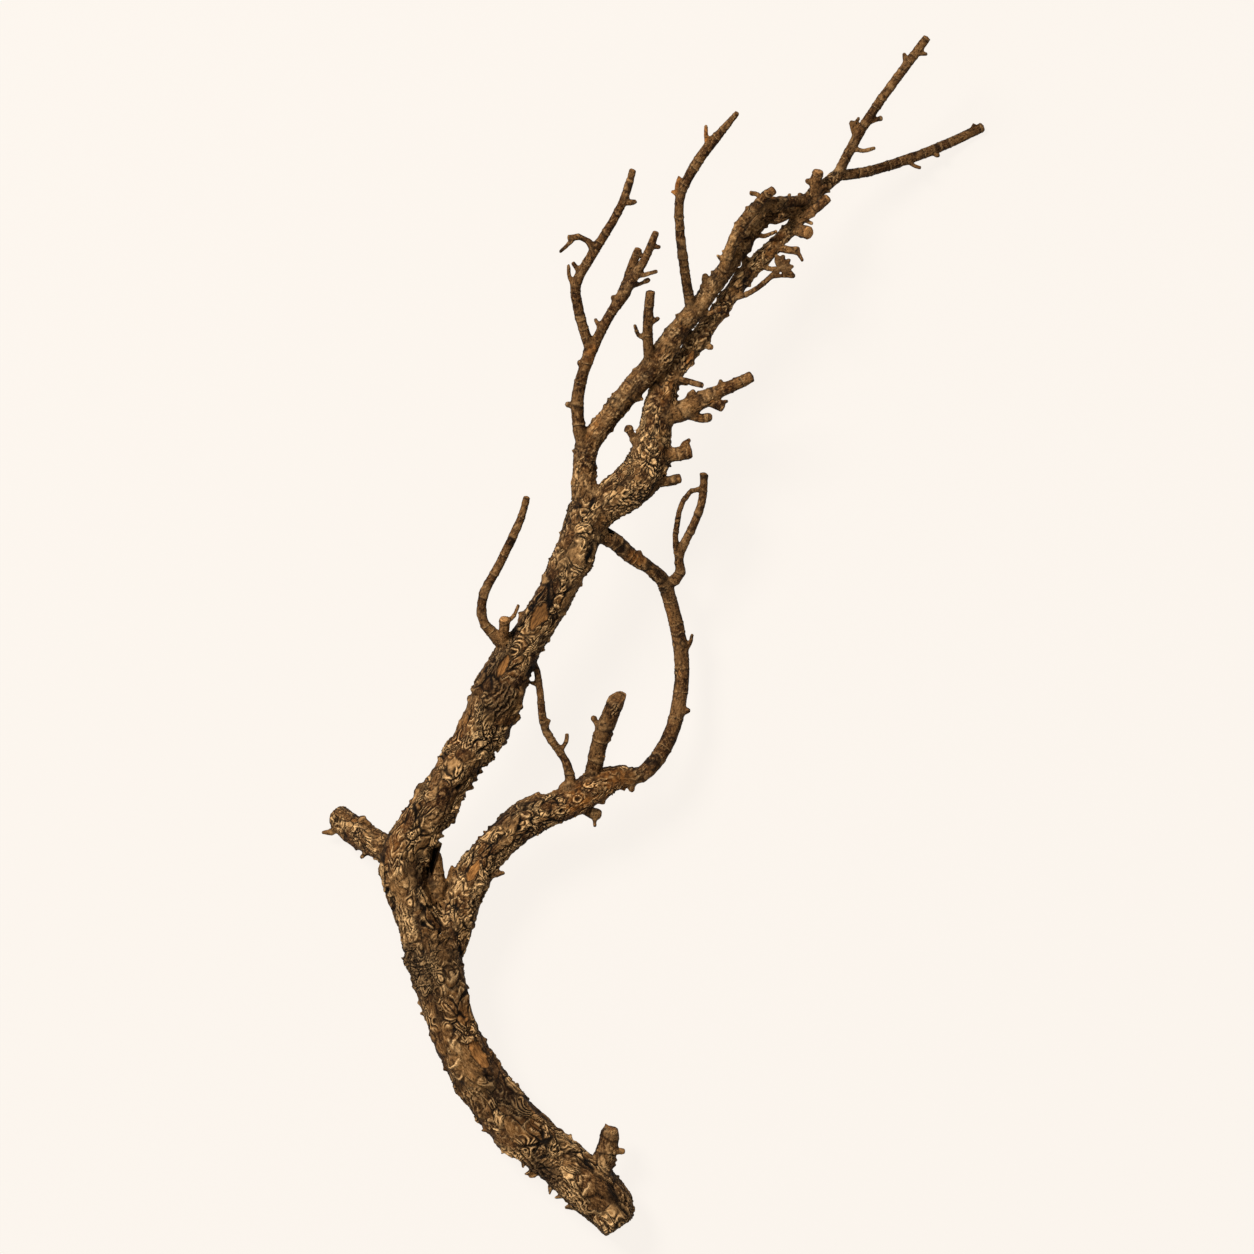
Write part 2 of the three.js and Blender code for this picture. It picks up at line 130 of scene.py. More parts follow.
def smoothstep(low, high, x):
    t = np.clip((x - low) / (high - low), 0.0, 1.0)
    return t * t * (3.0 - 2.0 * t)


def unit(v):
    return v / np.maximum(np.linalg.norm(v, axis=-1, keepdims=True), 1e-9)


def hashed(i, j, k, seed):
    """A well-mixed whole number for each lattice point."""
    h = (i * 73856093) ^ (j * 19349663) ^ (k * 83492791) ^ (seed * 2654435761 & 0xFFFFFFFF)
    h = h & 0xFFFFFFFF
    h = ((h ^ (h >> 16)) * 0x45D9F3B) & 0xFFFFFFFF
    h = ((h ^ (h >> 16)) * 0x45D9F3B) & 0xFFFFFFFF
    return h ^ (h >> 16)


def gradient_noise(p, seed):
    """Smooth noise, about -1 to 1, with one feature for each unit of p."""
    base = np.floor(p).astype(np.int64)
    f = p - base
    fade = f * f * f * (f * (f * 6.0 - 15.0) + 10.0)
    total = np.zeros(len(p))
    for dx in (0, 1):
        for dy in (0, 1):
            for dz in (0, 1):
                h = hashed(base[:, 0] + dx, base[:, 1] + dy, base[:, 2] + dz, seed)
                gx = (h & 1023) / 511.5 - 1.0
                gy = ((h >> 10) & 1023) / 511.5 - 1.0
                gz = ((h >> 20) & 1023) / 511.5 - 1.0
                dot = gx * (f[:, 0] - dx) + gy * (f[:, 1] - dy) + gz * (f[:, 2] - dz)
                wx = fade[:, 0] if dx else 1.0 - fade[:, 0]
                wy = fade[:, 1] if dy else 1.0 - fade[:, 1]
                wz = fade[:, 2] if dz else 1.0 - fade[:, 2]
                total += dot * wx * wy * wz
    return total * 1.6


def cells(p, seed):
    """Distance to the nearest and the second cell centre, and the nearest cell's own numbers, 0 to 1."""
    base = np.floor(p).astype(np.int64)
    f = p - base
    first = np.full(len(p), 9.0)
    second = np.full(len(p), 9.0)
    number = np.zeros(len(p), np.int64)
    for dx in (-1, 0, 1):
        for dy in (-1, 0, 1):
            for dz in (-1, 0, 1):
                h = hashed(base[:, 0] + dx, base[:, 1] + dy, base[:, 2] + dz, seed)
                ox = dx + (h & 1023) / 1023.0 - f[:, 0]
                oy = dy + ((h >> 10) & 1023) / 1023.0 - f[:, 1]
                oz = dz + ((h >> 20) & 1023) / 1023.0 - f[:, 2]
                d = np.sqrt(ox * ox + oy * oy + oz * oz)
                nearer = d < first
                second = np.where(nearer, first, np.minimum(second, d))
                number = np.where(nearer, h, number)
                first = np.where(nearer, d, first)
    mixed = hashed(number, number >> 7, number >> 13, seed + 5)
    return first, second, (mixed & 1023) / 1023.0, ((mixed >> 10) & 1023) / 1023.0


# ---------------------------------------------------------------- the limbs, read from the frame

def node_mesh(name):
    """The node's own points and triangles, with points at one place joined."""
    mesh = frame["nodes"][name].data
    co = np.empty(len(mesh.vertices) * 3, np.float32)
    mesh.vertices.foreach_get("co", co)
    mesh.calc_loop_triangles()
    corners = np.empty(len(mesh.loop_triangles) * 3, np.int32)
    mesh.loop_triangles.foreach_get("vertices", corners)
    rounded = np.round(co.reshape(-1, 3).astype(float) * 1000.0, 3)
    points, index = np.unique(rounded, axis=0, return_inverse=True)
    triangles = index.reshape(-1)[corners].reshape(-1, 3)
    kept = (triangles[:, 0] != triangles[:, 1]) & (triangles[:, 1] != triangles[:, 2])
    kept &= triangles[:, 0] != triangles[:, 2]
    return points, triangles[kept]


def surface_samples(points, triangles, values, per_mm2=6.0):
    """Evenly spread places on the surface, with the values carried to them."""
    a, b, c = (points[triangles[:, i]] for i in range(3))
    area = 0.5 * np.linalg.norm(np.cross(b - a, c - a), axis=1)
    edge = np.cumsum(area)
    count = max(400, int(edge[-1] * per_mm2))
    chosen = np.searchsorted(edge, (np.arange(count) + 0.5) / count * edge[-1])
    u, v = rng.random(count), rng.random(count)
    flip = u + v > 1.0
    u, v = np.where(flip, 1 - u, u), np.where(flip, 1 - v, v)
    w = 1.0 - u - v
    place = a[chosen] * w[:, None] + b[chosen] * u[:, None] + c[chosen] * v[:, None]
    t = triangles[chosen]
    return place, values[t[:, 0]] * w + values[t[:, 1]] * u + values[t[:, 2]] * v


def distance_over(points, triangles, seeds):
    """How far each point is from the seeds, walking over the mesh's edges."""
    near = [[] for _ in points]
    for t in triangles.tolist():
        for i, j in ((t[0], t[1]), (t[1], t[2]), (t[2], t[0])):
            gap = float(np.linalg.norm(points[i] - points[j]))
            near[i].append((j, gap))
            near[j].append((i, gap))
    best = np.full(len(points), 1e9)
    queue = [(0.0, int(i)) for i in seeds]
    for _, i in queue:
        best[i] = 0.0
    heapq.heapify(queue)
    while queue:
        d, i = heapq.heappop(queue)
        if d > best[i]:
            continue
        for j, gap in near[i]:
            if d + gap < best[j]:
                best[j] = d + gap
                heapq.heappush(queue, (d + gap, j))
    return best


def binned(values, index, count):
    total = np.bincount(index, minlength=count)
    if values.ndim == 1:
        return np.bincount(index, values, count) / np.maximum(total, 1), total
    sums = np.stack([np.bincount(index, values[:, i], count) for i in range(values.shape[1])], 1)
    return sums / np.maximum(total, 1)[:, None], total


def make_limb(name, piece, line, radius):
    """A limb with evenly spaced stations: place, direction, radius and distance along."""
    gaps = np.linalg.norm(np.diff(line, axis=0), axis=1)
    along = np.concatenate([[0.0], np.cumsum(gaps)])
    count = max(5, int(along[-1] / STATION) + 1)
    s = np.linspace(0.0, along[-1], count)
    place = np.stack([np.interp(s, along, line[:, i]) for i in range(3)], 1)
    direction = unit(np.gradient(eased(place, 12), axis=0))
    size = np.interp(s, along, radius)
    return {"name": name, "piece": piece, "place": place, "direction": direction, "radius": size,
            "along": s, "length": float(along[-1]), "mean": float(size.mean()), "end": "cut"}


def eased(line, rounds=8):
    """The line with its small wiggles smoothed away and its ends kept."""
    line = line.copy()
    for _ in range(rounds):
        line[1:-1] = 0.25 * line[:-2] + 0.5 * line[1:-1] + 0.25 * line[2:]
    return line


def limb_from_node(name):
    points, triangles = solids[name]
    a, b, c = (points[triangles[:, i]] for i in range(3))
    area = 0.5 * np.linalg.norm(np.cross(b - a, c - a), axis=1).sum()
    volume = np.sum(a * np.cross(b, c)) / 6.0
    thick = 2.0 * abs(volume) / area
    if PARENT[name] is None:
        seeds = np.nonzero(points[:, 1] < points[:, 1].min() + 3.0)[0]
    else:
        other, _ = surface_samples(*solids[PARENT[name]], np.zeros(len(solids[PARENT[name]][0])), 1.0)
        gap = np.array([np.min(np.sum((other - p) ** 2, axis=1)) for p in points]) ** 0.5
        seeds = np.nonzero(gap < gap.min() + 1.0)[0]
    place, s = surface_samples(points, triangles, distance_over(points, triangles, seeds))
    length, away = s.max(), np.full(len(place), thick)
    for turn in range(3):
        count = max(4, int(length / max(0.8, 0.5 * thick)))
        index = np.clip((s / length * count).astype(int), 0, count - 1)
        line, total = binned(place, index, count)
        size, _ = binned(away, index, count)
        line, size = eased(line[total > 0]), eased(size[total > 0])
        if turn < 2:
            limb = make_limb(name, name, line, size)
            s, away = nearest_station(limb, place)
            length = limb["length"]
    size[0] = size[1]
    size[-1] = max(size[-1], size[-2] * 0.8)
    first = line[0] - unit(line[1] - line[0]) * size[0] * 0.8
    last = line[-1] + unit(line[-1] - line[-2]) * 0.25 * thick
    return make_limb(name, name, np.vstack([first, line, last]), np.concatenate([size[:1], size, size[-1:]]))


def nearest_station(limb, p, with_index=False):
    """Distance along the limb and away from its centre line, for each place."""
    place = limb["place"]
    index = np.empty(len(p), np.int64)
    square = (place ** 2).sum(1)
    for i in range(0, len(p), 20000):
        index[i:i + 20000] = np.argmin(square[None, :] - 2.0 * p[i:i + 20000] @ place.T, axis=1)
    offset = p - place[index]
    forward = np.sum(offset * limb["direction"][index], axis=1)
    inside = (index > 0) & (index < len(place) - 1)
    slide = np.where(inside, np.clip(forward, -STATION, STATION), forward)
    s = limb["along"][index] + slide
    off_axis = offset - limb["direction"][index] * np.where(inside, forward, 0.0)[:, None]
    away = np.linalg.norm(off_axis, axis=1)
    return (s, away, index) if with_index else (s, away)


def frame_at(limb, share):
    """Place, direction, the side and the up direction, and the radius at a share of the limb's length."""
    i = int(np.clip(share, 0.0, 1.0) * (len(limb["along"]) - 1))
    direction = limb["direction"][i]
    up = unit(np.array([0.0, 0.0, 1.0]) - direction * direction[2])
    return limb["place"][i], direction, np.cross(direction, up), up, limb["radius"][i]


def heading(degrees, rise):
    a, e = math.radians(degrees), math.radians(rise)
    return np.array([math.cos(a) * math.cos(e), math.sin(a) * math.cos(e), math.sin(e)])


def spur_line(on, share, angle, foot_radius, end, lengths):
    """The centre line and radii of a piece of side growth, from inside its limb."""
    place, _, side, up, radius = frame_at(limb_named[on], share)
    out = side * math.sin(math.radians(angle)) + up * math.cos(math.radians(angle))
    corners, sizes = [place + out * radius * 0.45], [foot_radius]
    for i, (length, turn, rise, size) in enumerate(lengths):
        extra = radius * 0.5 if i == 0 else 0.0
        corners.append(corners[-1] + heading(turn, rise) * (length + extra))
        sizes.append(size)
    corners, sizes = np.array(corners), np.array(sizes)
    along = np.concatenate([[0.0], np.cumsum(np.linalg.norm(np.diff(corners, axis=0), axis=1))])
    s = np.linspace(0.0, along[-1], max(6, int(along[-1] / 0.5)))
    line = np.stack([np.interp(s, along, corners[:, i]) for i in range(3)], 1)
    size = np.interp(s, along, sizes)
    if end == "bud":
        size = size * (0.85 + 0.55 * np.exp(-((s - along[-1] + 1.1) / 0.9) ** 2))
    if end in ("bud", "round"):
        size = size * np.sqrt(np.clip((along[-1] - s + 0.25) / (size * 0.9), 0.1, 1.0))
    return eased(line, 4), size


def tube(line, size, sides=10, flat=None):
    """A closed tube along a line, pressed to a third along flat."""
    direction = unit(np.gradient(line, axis=0))
    helper = np.array([0.0, 0.0, 1.0]) if abs(direction[0][2]) < 0.8 else np.array([1.0, 0.0, 0.0])
    one = unit(np.cross(direction, helper))
    two = np.cross(direction, one)
    turn = np.arange(sides) / sides * 2.0 * np.pi
    rings = line[:, None] + size[:, None, None] * (
        np.cos(turn)[None, :, None] * one[:, None] + np.sin(turn)[None, :, None] * two[:, None])
    if flat is not None:
        rings -= 0.5 * ((rings - line[:, None]) @ flat)[..., None] * flat
    points = np.vstack([rings.reshape(-1, 3), line[:1], line[-1:]])
    triangles, first, last = [], len(points) - 2, len(points) - 1
    for i in range(len(line) - 1):
        for j in range(sides):
            a, b = i * sides + j, i * sides + (j + 1) % sides
            triangles += [(a, b, b + sides), (a, b + sides, a + sides)]
    top = (len(line) - 1) * sides
    for j in range(sides):
        k = (j + 1) % sides
        triangles += [(first, k, j), (last, top + j, top + k)]
    return points, np.array(triangles)


def loose_flakes():
    """Raised bark flakes on the thick limbs: their shells, their places and their reach."""
    shells, places, reaches = [], [], []
    for name, low, high, turn, spread, count, length in flake_bands():
        for _ in range(count):
            share = rng.uniform(low, high)
            angle = math.radians(turn + rng.uniform(-spread, spread))
            place, direction, side, up, radius = frame_at(limb_named[name], share)
            out = side * math.sin(angle) + up * math.cos(angle)
            across = np.cross(direction, out)
            reach = length * rng.uniform(0.6, 1.35)
            lean = direction * rng.choice([-1.0, 1.0]) * rng.uniform(0.5, 1.3)
            lean = lean + across * rng.uniform(-0.4, 0.4)
            foot = place + out * (radius - 1.2)
            top = foot + unit(out + lean) * (1.2 + reach)
            line = foot + (top - foot) * np.linspace(0.0, 1.0, 8)[:, None]
            width = reach * rng.uniform(0.55, 0.95)
            size = np.interp(np.linspace(0.0, 1.0, 8), [0.0, 0.5, 1.0], [1.25, 0.8, 0.3]) * width
            shells.append(tube(line, np.maximum(size, 0.55), 10, unit(out - unit(lean) * 0.8)))
            places.append(0.5 * (foot + top))
            reaches.append(reach + 1.0)
    return shells, np.array(places), np.array(reaches)


def guarded(points, places, reaches):
    """One close to a flake, where the surface isn't eased."""
    close = np.zeros(len(points))
    for place, reach in zip(places, reaches):
        near_it = np.nonzero(np.abs(points - place).max(axis=1) < reach)[0]
        away = np.linalg.norm(points[near_it] - place, axis=1) / reach
        close[near_it] = np.maximum(close[near_it], 1.0 - smoothstep(0.6, 1.0, away))
    return close


# ---------------------------------------------------------------- one surface over all the limbs

def joined_surface(parts):
    """Points and quads of one closed surface over all the parts, at about CELL spacing."""
    verts, faces, base = [], [], 0
    for points, triangles in parts:
        a, b, c = (points[triangles[:, i]] for i in range(3))
        normal = np.cross(b - a, c - a)
        sums = np.zeros_like(points)
        for i in range(3):
            for axis in range(3):
                sums[:, axis] += np.bincount(triangles[:, i], normal[:, axis], len(points))
        verts.append(points + unit(sums) * SWELL)
        faces.append(triangles + base)
        base += len(points)
    mesh = bpy.data.meshes.new("limbs")
    mesh.from_pydata(np.vstack(verts).tolist(), [], np.vstack(faces).tolist())
    body = bpy.data.objects.new("limbs", mesh)
    bpy.context.scene.collection.objects.link(body)
    remesh = body.modifiers.new("surface", "REMESH")
    remesh.mode = "VOXEL"
    remesh.voxel_size = CELL
    remesh.adaptivity = 0.0
    made = body.evaluated_get(bpy.context.evaluated_depsgraph_get()).to_mesh()
    points = np.empty(len(made.vertices) * 3, np.float32)
    made.vertices.foreach_get("co", points)
    quads = np.empty(len(made.loops), np.int32)
    made.loops.foreach_get("vertex_index", quads)
    points, quads = points.reshape(-1, 3).astype(float), quads.reshape(-1, 4)
    bpy.data.objects.remove(body)
    bpy.data.meshes.remove(mesh)
    return largest_part(points, quads)


def labels_of(count, edges):
    """The same number for all the points that edges join."""
    label = np.arange(count)
    while True:
        low = np.minimum(label[edges[:, 0]], label[edges[:, 1]])
        new = label.copy()
        np.minimum.at(new, label[edges[:, 0]], low)
        np.minimum.at(new, label[edges[:, 1]], low)
        for _ in range(6):
            new = new[new]
        if np.array_equal(new, label):
            return label
        label = new


def edges_of(quads):
    pairs = np.vstack([quads[:, [i, (i + 1) % 4]] for i in range(4)])
    return np.unique(np.sort(pairs, axis=1), axis=0)


def largest_part(points, quads):
    label = labels_of(len(points), edges_of(quads))
    keep = label == np.bincount(label).argmax()
    index = np.cumsum(keep) - 1
    return points[keep], index[quads[keep[quads[:, 0]]]]


def average_of_neighbours(values, edges, count):
    degree = np.bincount(edges.ravel(), minlength=count)
    out = np.empty_like(values)
    for axis in range(values.shape[1]):
        total = np.bincount(edges[:, 0], values[edges[:, 1], axis], count)
        total += np.bincount(edges[:, 1], values[edges[:, 0], axis], count)
        out[:, axis] = total / np.maximum(degree, 1)
    return out


def point_normals(points, quads):
    a, b, c, d = (points[quads[:, i]] for i in range(4))
    normal = np.cross(c - a, d - b)
    sums = np.zeros_like(points)
    for i in range(4):
        for axis in range(3):
            sums[:, axis] += np.bincount(quads[:, i], normal[:, axis], len(points))
    return unit(sums)


# ---------------------------------------------------------------- where each point is on its limb

def places_on_limbs(points):
    """For each point its nearest limb and the next one: which, how far along, how far off."""
    count = len(points)
    near = {"limb": np.full((2, count), -1), "gap": np.full((2, count), 1e3),
            "index": np.zeros((2, count), np.int64), "s": np.zeros((2, count))}
    for k, limb in enumerate(limbs):
        reach = limb["radius"].max() + 8.0
        low, high = limb["place"].min(0) - reach, limb["place"].max(0) + reach
        chosen = np.nonzero(np.all((points > low) & (points < high), axis=1))[0]
        if not len(chosen):
            continue
        s, away, index = nearest_station(limb, points[chosen], True)
        gap = away - limb["radius"][index]
        first = gap < near["gap"][0, chosen]
        moved = chosen[first]
        for key in near:
            near[key][1, moved] = near[key][0, moved]
        for key, value in (("limb", k), ("gap", gap), ("index", index), ("s", s)):
            near[key][0, moved] = value if key == "limb" else value[first]
        second = ~first & (gap < near["gap"][1, chosen])
        moved = chosen[second]
        for key, value in (("limb", k), ("gap", gap), ("index", index), ("s", s)):
            near[key][1, moved] = value if key == "limb" else value[second]
    return near


def flow_at(points, which, index, s):
    """The limb's own coordinates of each point: sideways, up and along, its radius there, its angle."""
    flow = np.zeros((len(points), 3))
    radius = np.ones(len(points))
    share = np.zeros(len(points))
    for k, limb in enumerate(limbs):
        own = which == k
        if not own.any():
            continue
        at = index[own]
        direction = limb["direction"][at]
        up = unit(np.array([0.0, 0.0, 1.0]) - direction * direction[:, 2:3])
        side = np.cross(direction, up)
        offset = points[own] - limb["place"][at]
        flow[own] = np.stack([np.sum(offset * side, 1), np.sum(offset * up, 1), s[own]], 1)
        radius[own] = limb["radius"][at]
        share[own] = s[own] / limb["length"]
    angle = np.degrees(np.arctan2(flow[:, 0], flow[:, 1]))
    return flow, radius, share, angle


# ---------------------------------------------------------------- bark

def bark_height(flow, which, radius, share):
    """How far the bark stands out at each point, and the marks that colour it."""
    mean = np.array([limb["mean"] for limb in limbs])[which]
    size = np.clip(0.58 * mean, 2.3, 6.6)
    shift = (which * LIMB_SHIFT)[:, None]
    p = flow / size[:, None] * np.array([1.0, 1.0, 0.7]) + shift
    sway = np.stack([gradient_noise(p * 0.8, seed) for seed in (11, 12, 13)], 1)
    first, second, tone, other = cells(p + 0.7 * sway, 21)
    edge = second - first
    parted = smoothstep(-0.2, 0.35, gradient_noise(p * 0.55 + 9.0, 23))
    crack = (1.0 - smoothstep(0.03, 0.17, edge)) * (0.45 + 0.55 * parted)
    field = gradient_noise(p * 0.8 + 1.2 * sway + other[:, None] * 9.0, 31)
    phase = 2.0 * np.pi * field * np.maximum(size / 1.6, 1.6)
    lines = np.cos(phase)
    drawn = smoothstep(-0.25, 0.4, gradient_noise(p * 0.7 + 5.0, 35) + 0.7 * (tone - 0.5))
    lump = gradient_noise(p * 0.42, 41)
    middle = gradient_noise(p * 2.6, 51)
    grain = gradient_noise(p * np.array([6.0, 6.0, 4.0]), 61)
    tall = np.clip(0.075 * radius + 0.22, 0.25, 1.3)
    thick = smoothstep(2.6, 5.5, mean)

    step = flow[:, 2] / (0.9 * size) + 1.4 * gradient_noise(flow / np.array([3.4, 3.4, 8.0]) + shift, 43)
    step = step - np.floor(step)
    shingled = smoothstep(0.0, 0.3, gradient_noise(p * 0.5 + 2.0, 45))
    lip = step ** 2 * (1.0 - smoothstep(0.9, 1.0, step))

    rough = 0.95 * lump + 0.85 * (tone - 0.5) * (1.0 - crack) - 0.55 * crack + 0.75 * lip * shingled
    rough += 0.27 * lines * drawn + 0.3 * middle + 0.14 * grain
    # painted shade at the foot of each shingle's lip, under its overhang
    under_lip_shade = shingled * (1.0 - smoothstep(0.0, 0.12, step))
    cracks_and_lip_shade = np.maximum(crack, 0.7 * under_lip_shade)

    ring_gap = 7.0 + 2.0 * (which % 3)
    drift = np.stack([0.0 * share, 0.0 * share, flow[:, 2] * 0.11], 1)
    ring_at = flow[:, 2] / ring_gap + 0.15 * gradient_noise(flow * 0.3 + shift, 71)
    ring_at += 1.3 * gradient_noise(drift + shift, 72)
    ring = np.abs(ring_at - np.round(ring_at)) * ring_gap
    node_ring = np.exp(-(ring / 0.7) ** 2)
    t = flow * np.array([0.55, 0.55, 0.9]) + shift
    spot, _, pick, _ = cells(t, 81)
    lenticel = (1.0 - smoothstep(0.16, 0.32, spot)) * (pick > 0.25)
    smooth = 0.6 * gradient_noise(flow * 0.25 + shift, 91) + 0.35 * gradient_noise(flow * 0.8 + shift, 92)
    smooth += 0.75 * node_ring + 0.35 * lenticel
    under_ring = np.exp(-((ring_at - np.round(ring_at) + 0.12) * ring_gap / 0.45) ** 2)
    twig_marks = np.maximum(lenticel * 0.85, under_ring * 0.8)

    height = -0.25 * thick + tall * (rough * thick + 0.7 * smooth * (1.0 - thick))
    # dark marks: the cracks between plates and the twigs' lenticels and rings, with painted shade under the
    # shingles' lips
    cracks_and_groove_shade = cracks_and_lip_shade * thick + twig_marks * (1.0 - thick)
    # painted highlight on the raised lips of the shingled bark and on the twigs' node rings
    ridge_highlight = 0.8 * smoothstep(0.5, 0.9, step) * shingled * (1.0 - crack) * thick
    ridge_highlight += 0.3 * node_ring * (1.0 - thick)
    return height, {"cracks_and_groove_shade": cracks_and_groove_shade, "ridge_highlight": ridge_highlight, "tone": tone * thick + 0.5 * (1.0 - thick),
                    "rough": thick, "drawn": drawn * thick * (1.0 - crack), "phase": phase * thick,
                    "blotch": smoothstep(-0.3, 0.3, gradient_noise(flow * 0.11 + shift, 95))}


def blended(near, points, make):
    """What make gives for the nearest limb, mixed with the next limb's across a fork."""
    keep = 0.5 + 0.5 * smoothstep(0.0, FORK_BLEND, near["gap"][1] - near["gap"][0])
    here = flow_at(points, near["limb"][0], near["index"][0], near["s"][0])
    height, marks = make(here[0], near["limb"][0], *here[1:3])
    mixed = np.nonzero((keep < 0.999) & (near["limb"][1] >= 0))[0]
    there = flow_at(points[mixed], near["limb"][1][mixed], near["index"][1][mixed], near["s"][1][mixed])
    height_2, marks_2 = make(there[0], near["limb"][1][mixed], *there[1:3])
    w = keep[mixed]
    height[mixed] = height[mixed] * w + height_2 * (1.0 - w)
    for key in marks:
        marks[key][mixed] = marks[key][mixed] * w + marks_2[key] * (1.0 - w)
    return height, marks, here


# ---------------------------------------------------------------- named marks

def raise_mark(marks, key, own, value):
    """Bring a mark up to value where it is lower."""
    marks[key][own] = np.maximum(marks[key][own], value)


def add_marks(height, marks, which, flow, radius, angle):
    """Knots, pits, swellings, bare patches and stains at their places on the limbs, with painted shade in their
    hollows and troughs and round the forks, and painted highlight on their ridges.
    """
    wobble = gradient_noise(flow * 0.45 + 3.0, 101) * 0.22 + gradient_noise(flow * 1.1 + 3.0, 102) * 0.1
    for number_of_mark, (name, at, turn, kind, long, wide, strength) in enumerate(mark_places()):
        limb = limb_named[name]
        along = flow[:, 2] - at * limb["length"]
        own = np.nonzero((which == names.index(name)) & (np.abs(along) < 1.6 * max(long, wide)))[0]
        if not len(own):
            continue
        off = (angle[own] - turn + 180.0) % 360.0 - 180.0
        u = np.radians(off) * radius[own] / wide
        v = along[own] / long
        far = np.sqrt(u * u + v * v)
        soft = np.clip(1.0 - far * far, 0.0, 1.0) ** 2
        ragged = far + wobble[own] * (1.0 if kind == "bare" else 0.5)
        inside = 1.0 - smoothstep(0.88, 1.0, ragged)
        if kind == "bump":
            height[own] += strength * soft
        elif kind == "pit":
            deep = np.clip(1.0 - ragged ** 2, 0.0, 1.0)
            height[own] -= strength * deep
            # painted shade deep in the pit
            raise_mark(marks, "hollow_shade_and_pith", own, smoothstep(0.25, 0.75, deep))
        elif kind == "knot":
            patchy = 0.45 + 0.55 * smoothstep(-0.12, 0.12, wobble[own])
            fade = (1.0 - smoothstep(0.6, 1.15, ragged)) * patchy
            rings = np.cos(2.0 * np.pi * (ragged + 0.5 * wobble[own]) * max(long, wide) / 1.8)
            height[own] = height[own] * (1.0 - 0.7 * fade) + fade * strength * (0.35 * rings + 0.5 * soft)
            eye = 1.0 - smoothstep(0.16, 0.3, ragged)
            height[own] -= 1.1 * strength * eye
            # the knot's sunken eye is darkened: painted shade in its hollow
            raise_mark(marks, "hollow_shade_and_pith", own, eye * min(1.0, strength))
            marks["cracks_and_groove_shade"][own] *= 1.0 - 0.8 * fade
            # painted shade in the troughs between the knot's rings, and painted highlight on their ridges
            raise_mark(marks, "cracks_and_groove_shade", own, fade * smoothstep(0.35, 0.95, -rings) * 0.7)
            marks["ridge_highlight"][own] *= 1 - fade
            raise_mark(marks, "ridge_highlight", own, fade * smoothstep(0.5, 0.95, rings))
        elif kind == "bare":
            edge = np.exp(-((ragged - 1.05) / 0.09) ** 2)
            height[own] = height[own] * (1.0 - 0.9 * inside) - 0.55 * inside + 0.35 * edge
            raise_mark(marks, "bare", own, inside)
            raise_mark(marks, "warm", own, inside * max(strength, 0.0))
            raise_mark(marks, "pale", own, inside * max(-strength, 0.0))
            marks["cracks_and_groove_shade"][own] = marks["cracks_and_groove_shade"][own] * (1.0 - inside)
            # a dark line just inside the rim of the bare patch: painted shade at its sunken step
            line = np.exp(-((ragged - 0.95) / 0.06) ** 2)
            raise_mark(marks, "hollow_shade_and_pith", own, 0.9 * line)
            marks["ridge_highlight"][own] *= 1.0 - inside
        elif kind == "smooth":
            fade = strength * (1.0 - smoothstep(0.7, 1.1, ragged))
            height[own] *= 1.0 - 0.75 * fade
            marks["cracks_and_groove_shade"][own] *= 1.0 - 0.85 * fade
            marks["ridge_highlight"][own] *= 1.0 - 0.6 * fade
            raise_mark(marks, "sleek", own, fade)
        elif kind == "folds":
            fade = 1.0 - smoothstep(0.6, 1.05, far)
            wave = np.cos(2.0 * np.pi * (along[own] / 2.3 + 0.5 * u + 3.6 * wobble[own]))
            height[own] += strength * fade * 0.4 * wave
            # painted shade in the troughs of the folds, and painted highlight on their ridges
            raise_mark(marks, "cracks_and_groove_shade", own, fade * smoothstep(0.4, 0.95, -wave) * 0.7)
            raise_mark(marks, "ridge_highlight", own, fade * smoothstep(0.6, 0.95, wave) * 0.5)
        elif kind == "arcs":
            fade = 1.0 - smoothstep(0.7, 1.1, ragged)
            bow = np.hypot(u + 1.3, 0.8 * v - 0.5)
            wave = np.cos(2.0 * np.pi * (bow * max(long, wide) / 2.5 + 2.4 * wobble[own]))
            height[own] = height[own] * (1.0 - 0.5 * fade) + strength * fade * 0.5 * wave
            marks["cracks_and_groove_shade"][own] *= 1.0 - 0.6 * fade
            # painted shade in the troughs of the arcs, and painted highlight on their ridges
            raise_mark(marks, "cracks_and_groove_shade", own, fade * smoothstep(0.3, 0.95, -wave) * 0.6 * strength)
            raise_mark(marks, "ridge_highlight", own, fade * smoothstep(0.4, 0.95, wave) * 0.5 * strength)
        elif kind == "pale":
            # pale specks: painted glints
            spot, _, pick, _ = cells(flow[own] / 2.4 + number_of_mark, 111)
            speck = (1.0 - smoothstep(0.14, 0.26, spot)) * (pick > 0.35) * inside
            raise_mark(marks, "pale", own, speck * strength)
        else:
            # a darker patch for the dark kind, a warmer one for the warm kind; the darker patch round each fork is
            # painted shade
            stain = strength * (1.0 - smoothstep(0.45, 1.15, ragged))
            raise_mark(marks, kind, own, stain)


def add_stains(marks, which):
    """The colour of the side growth that isn't like its limb."""
    for k, limb in enumerate(limbs):
        if limb.get("stain"):
            kind, strength = limb["stain"]
            own = which == k
            raise_mark(marks, kind, own, strength)


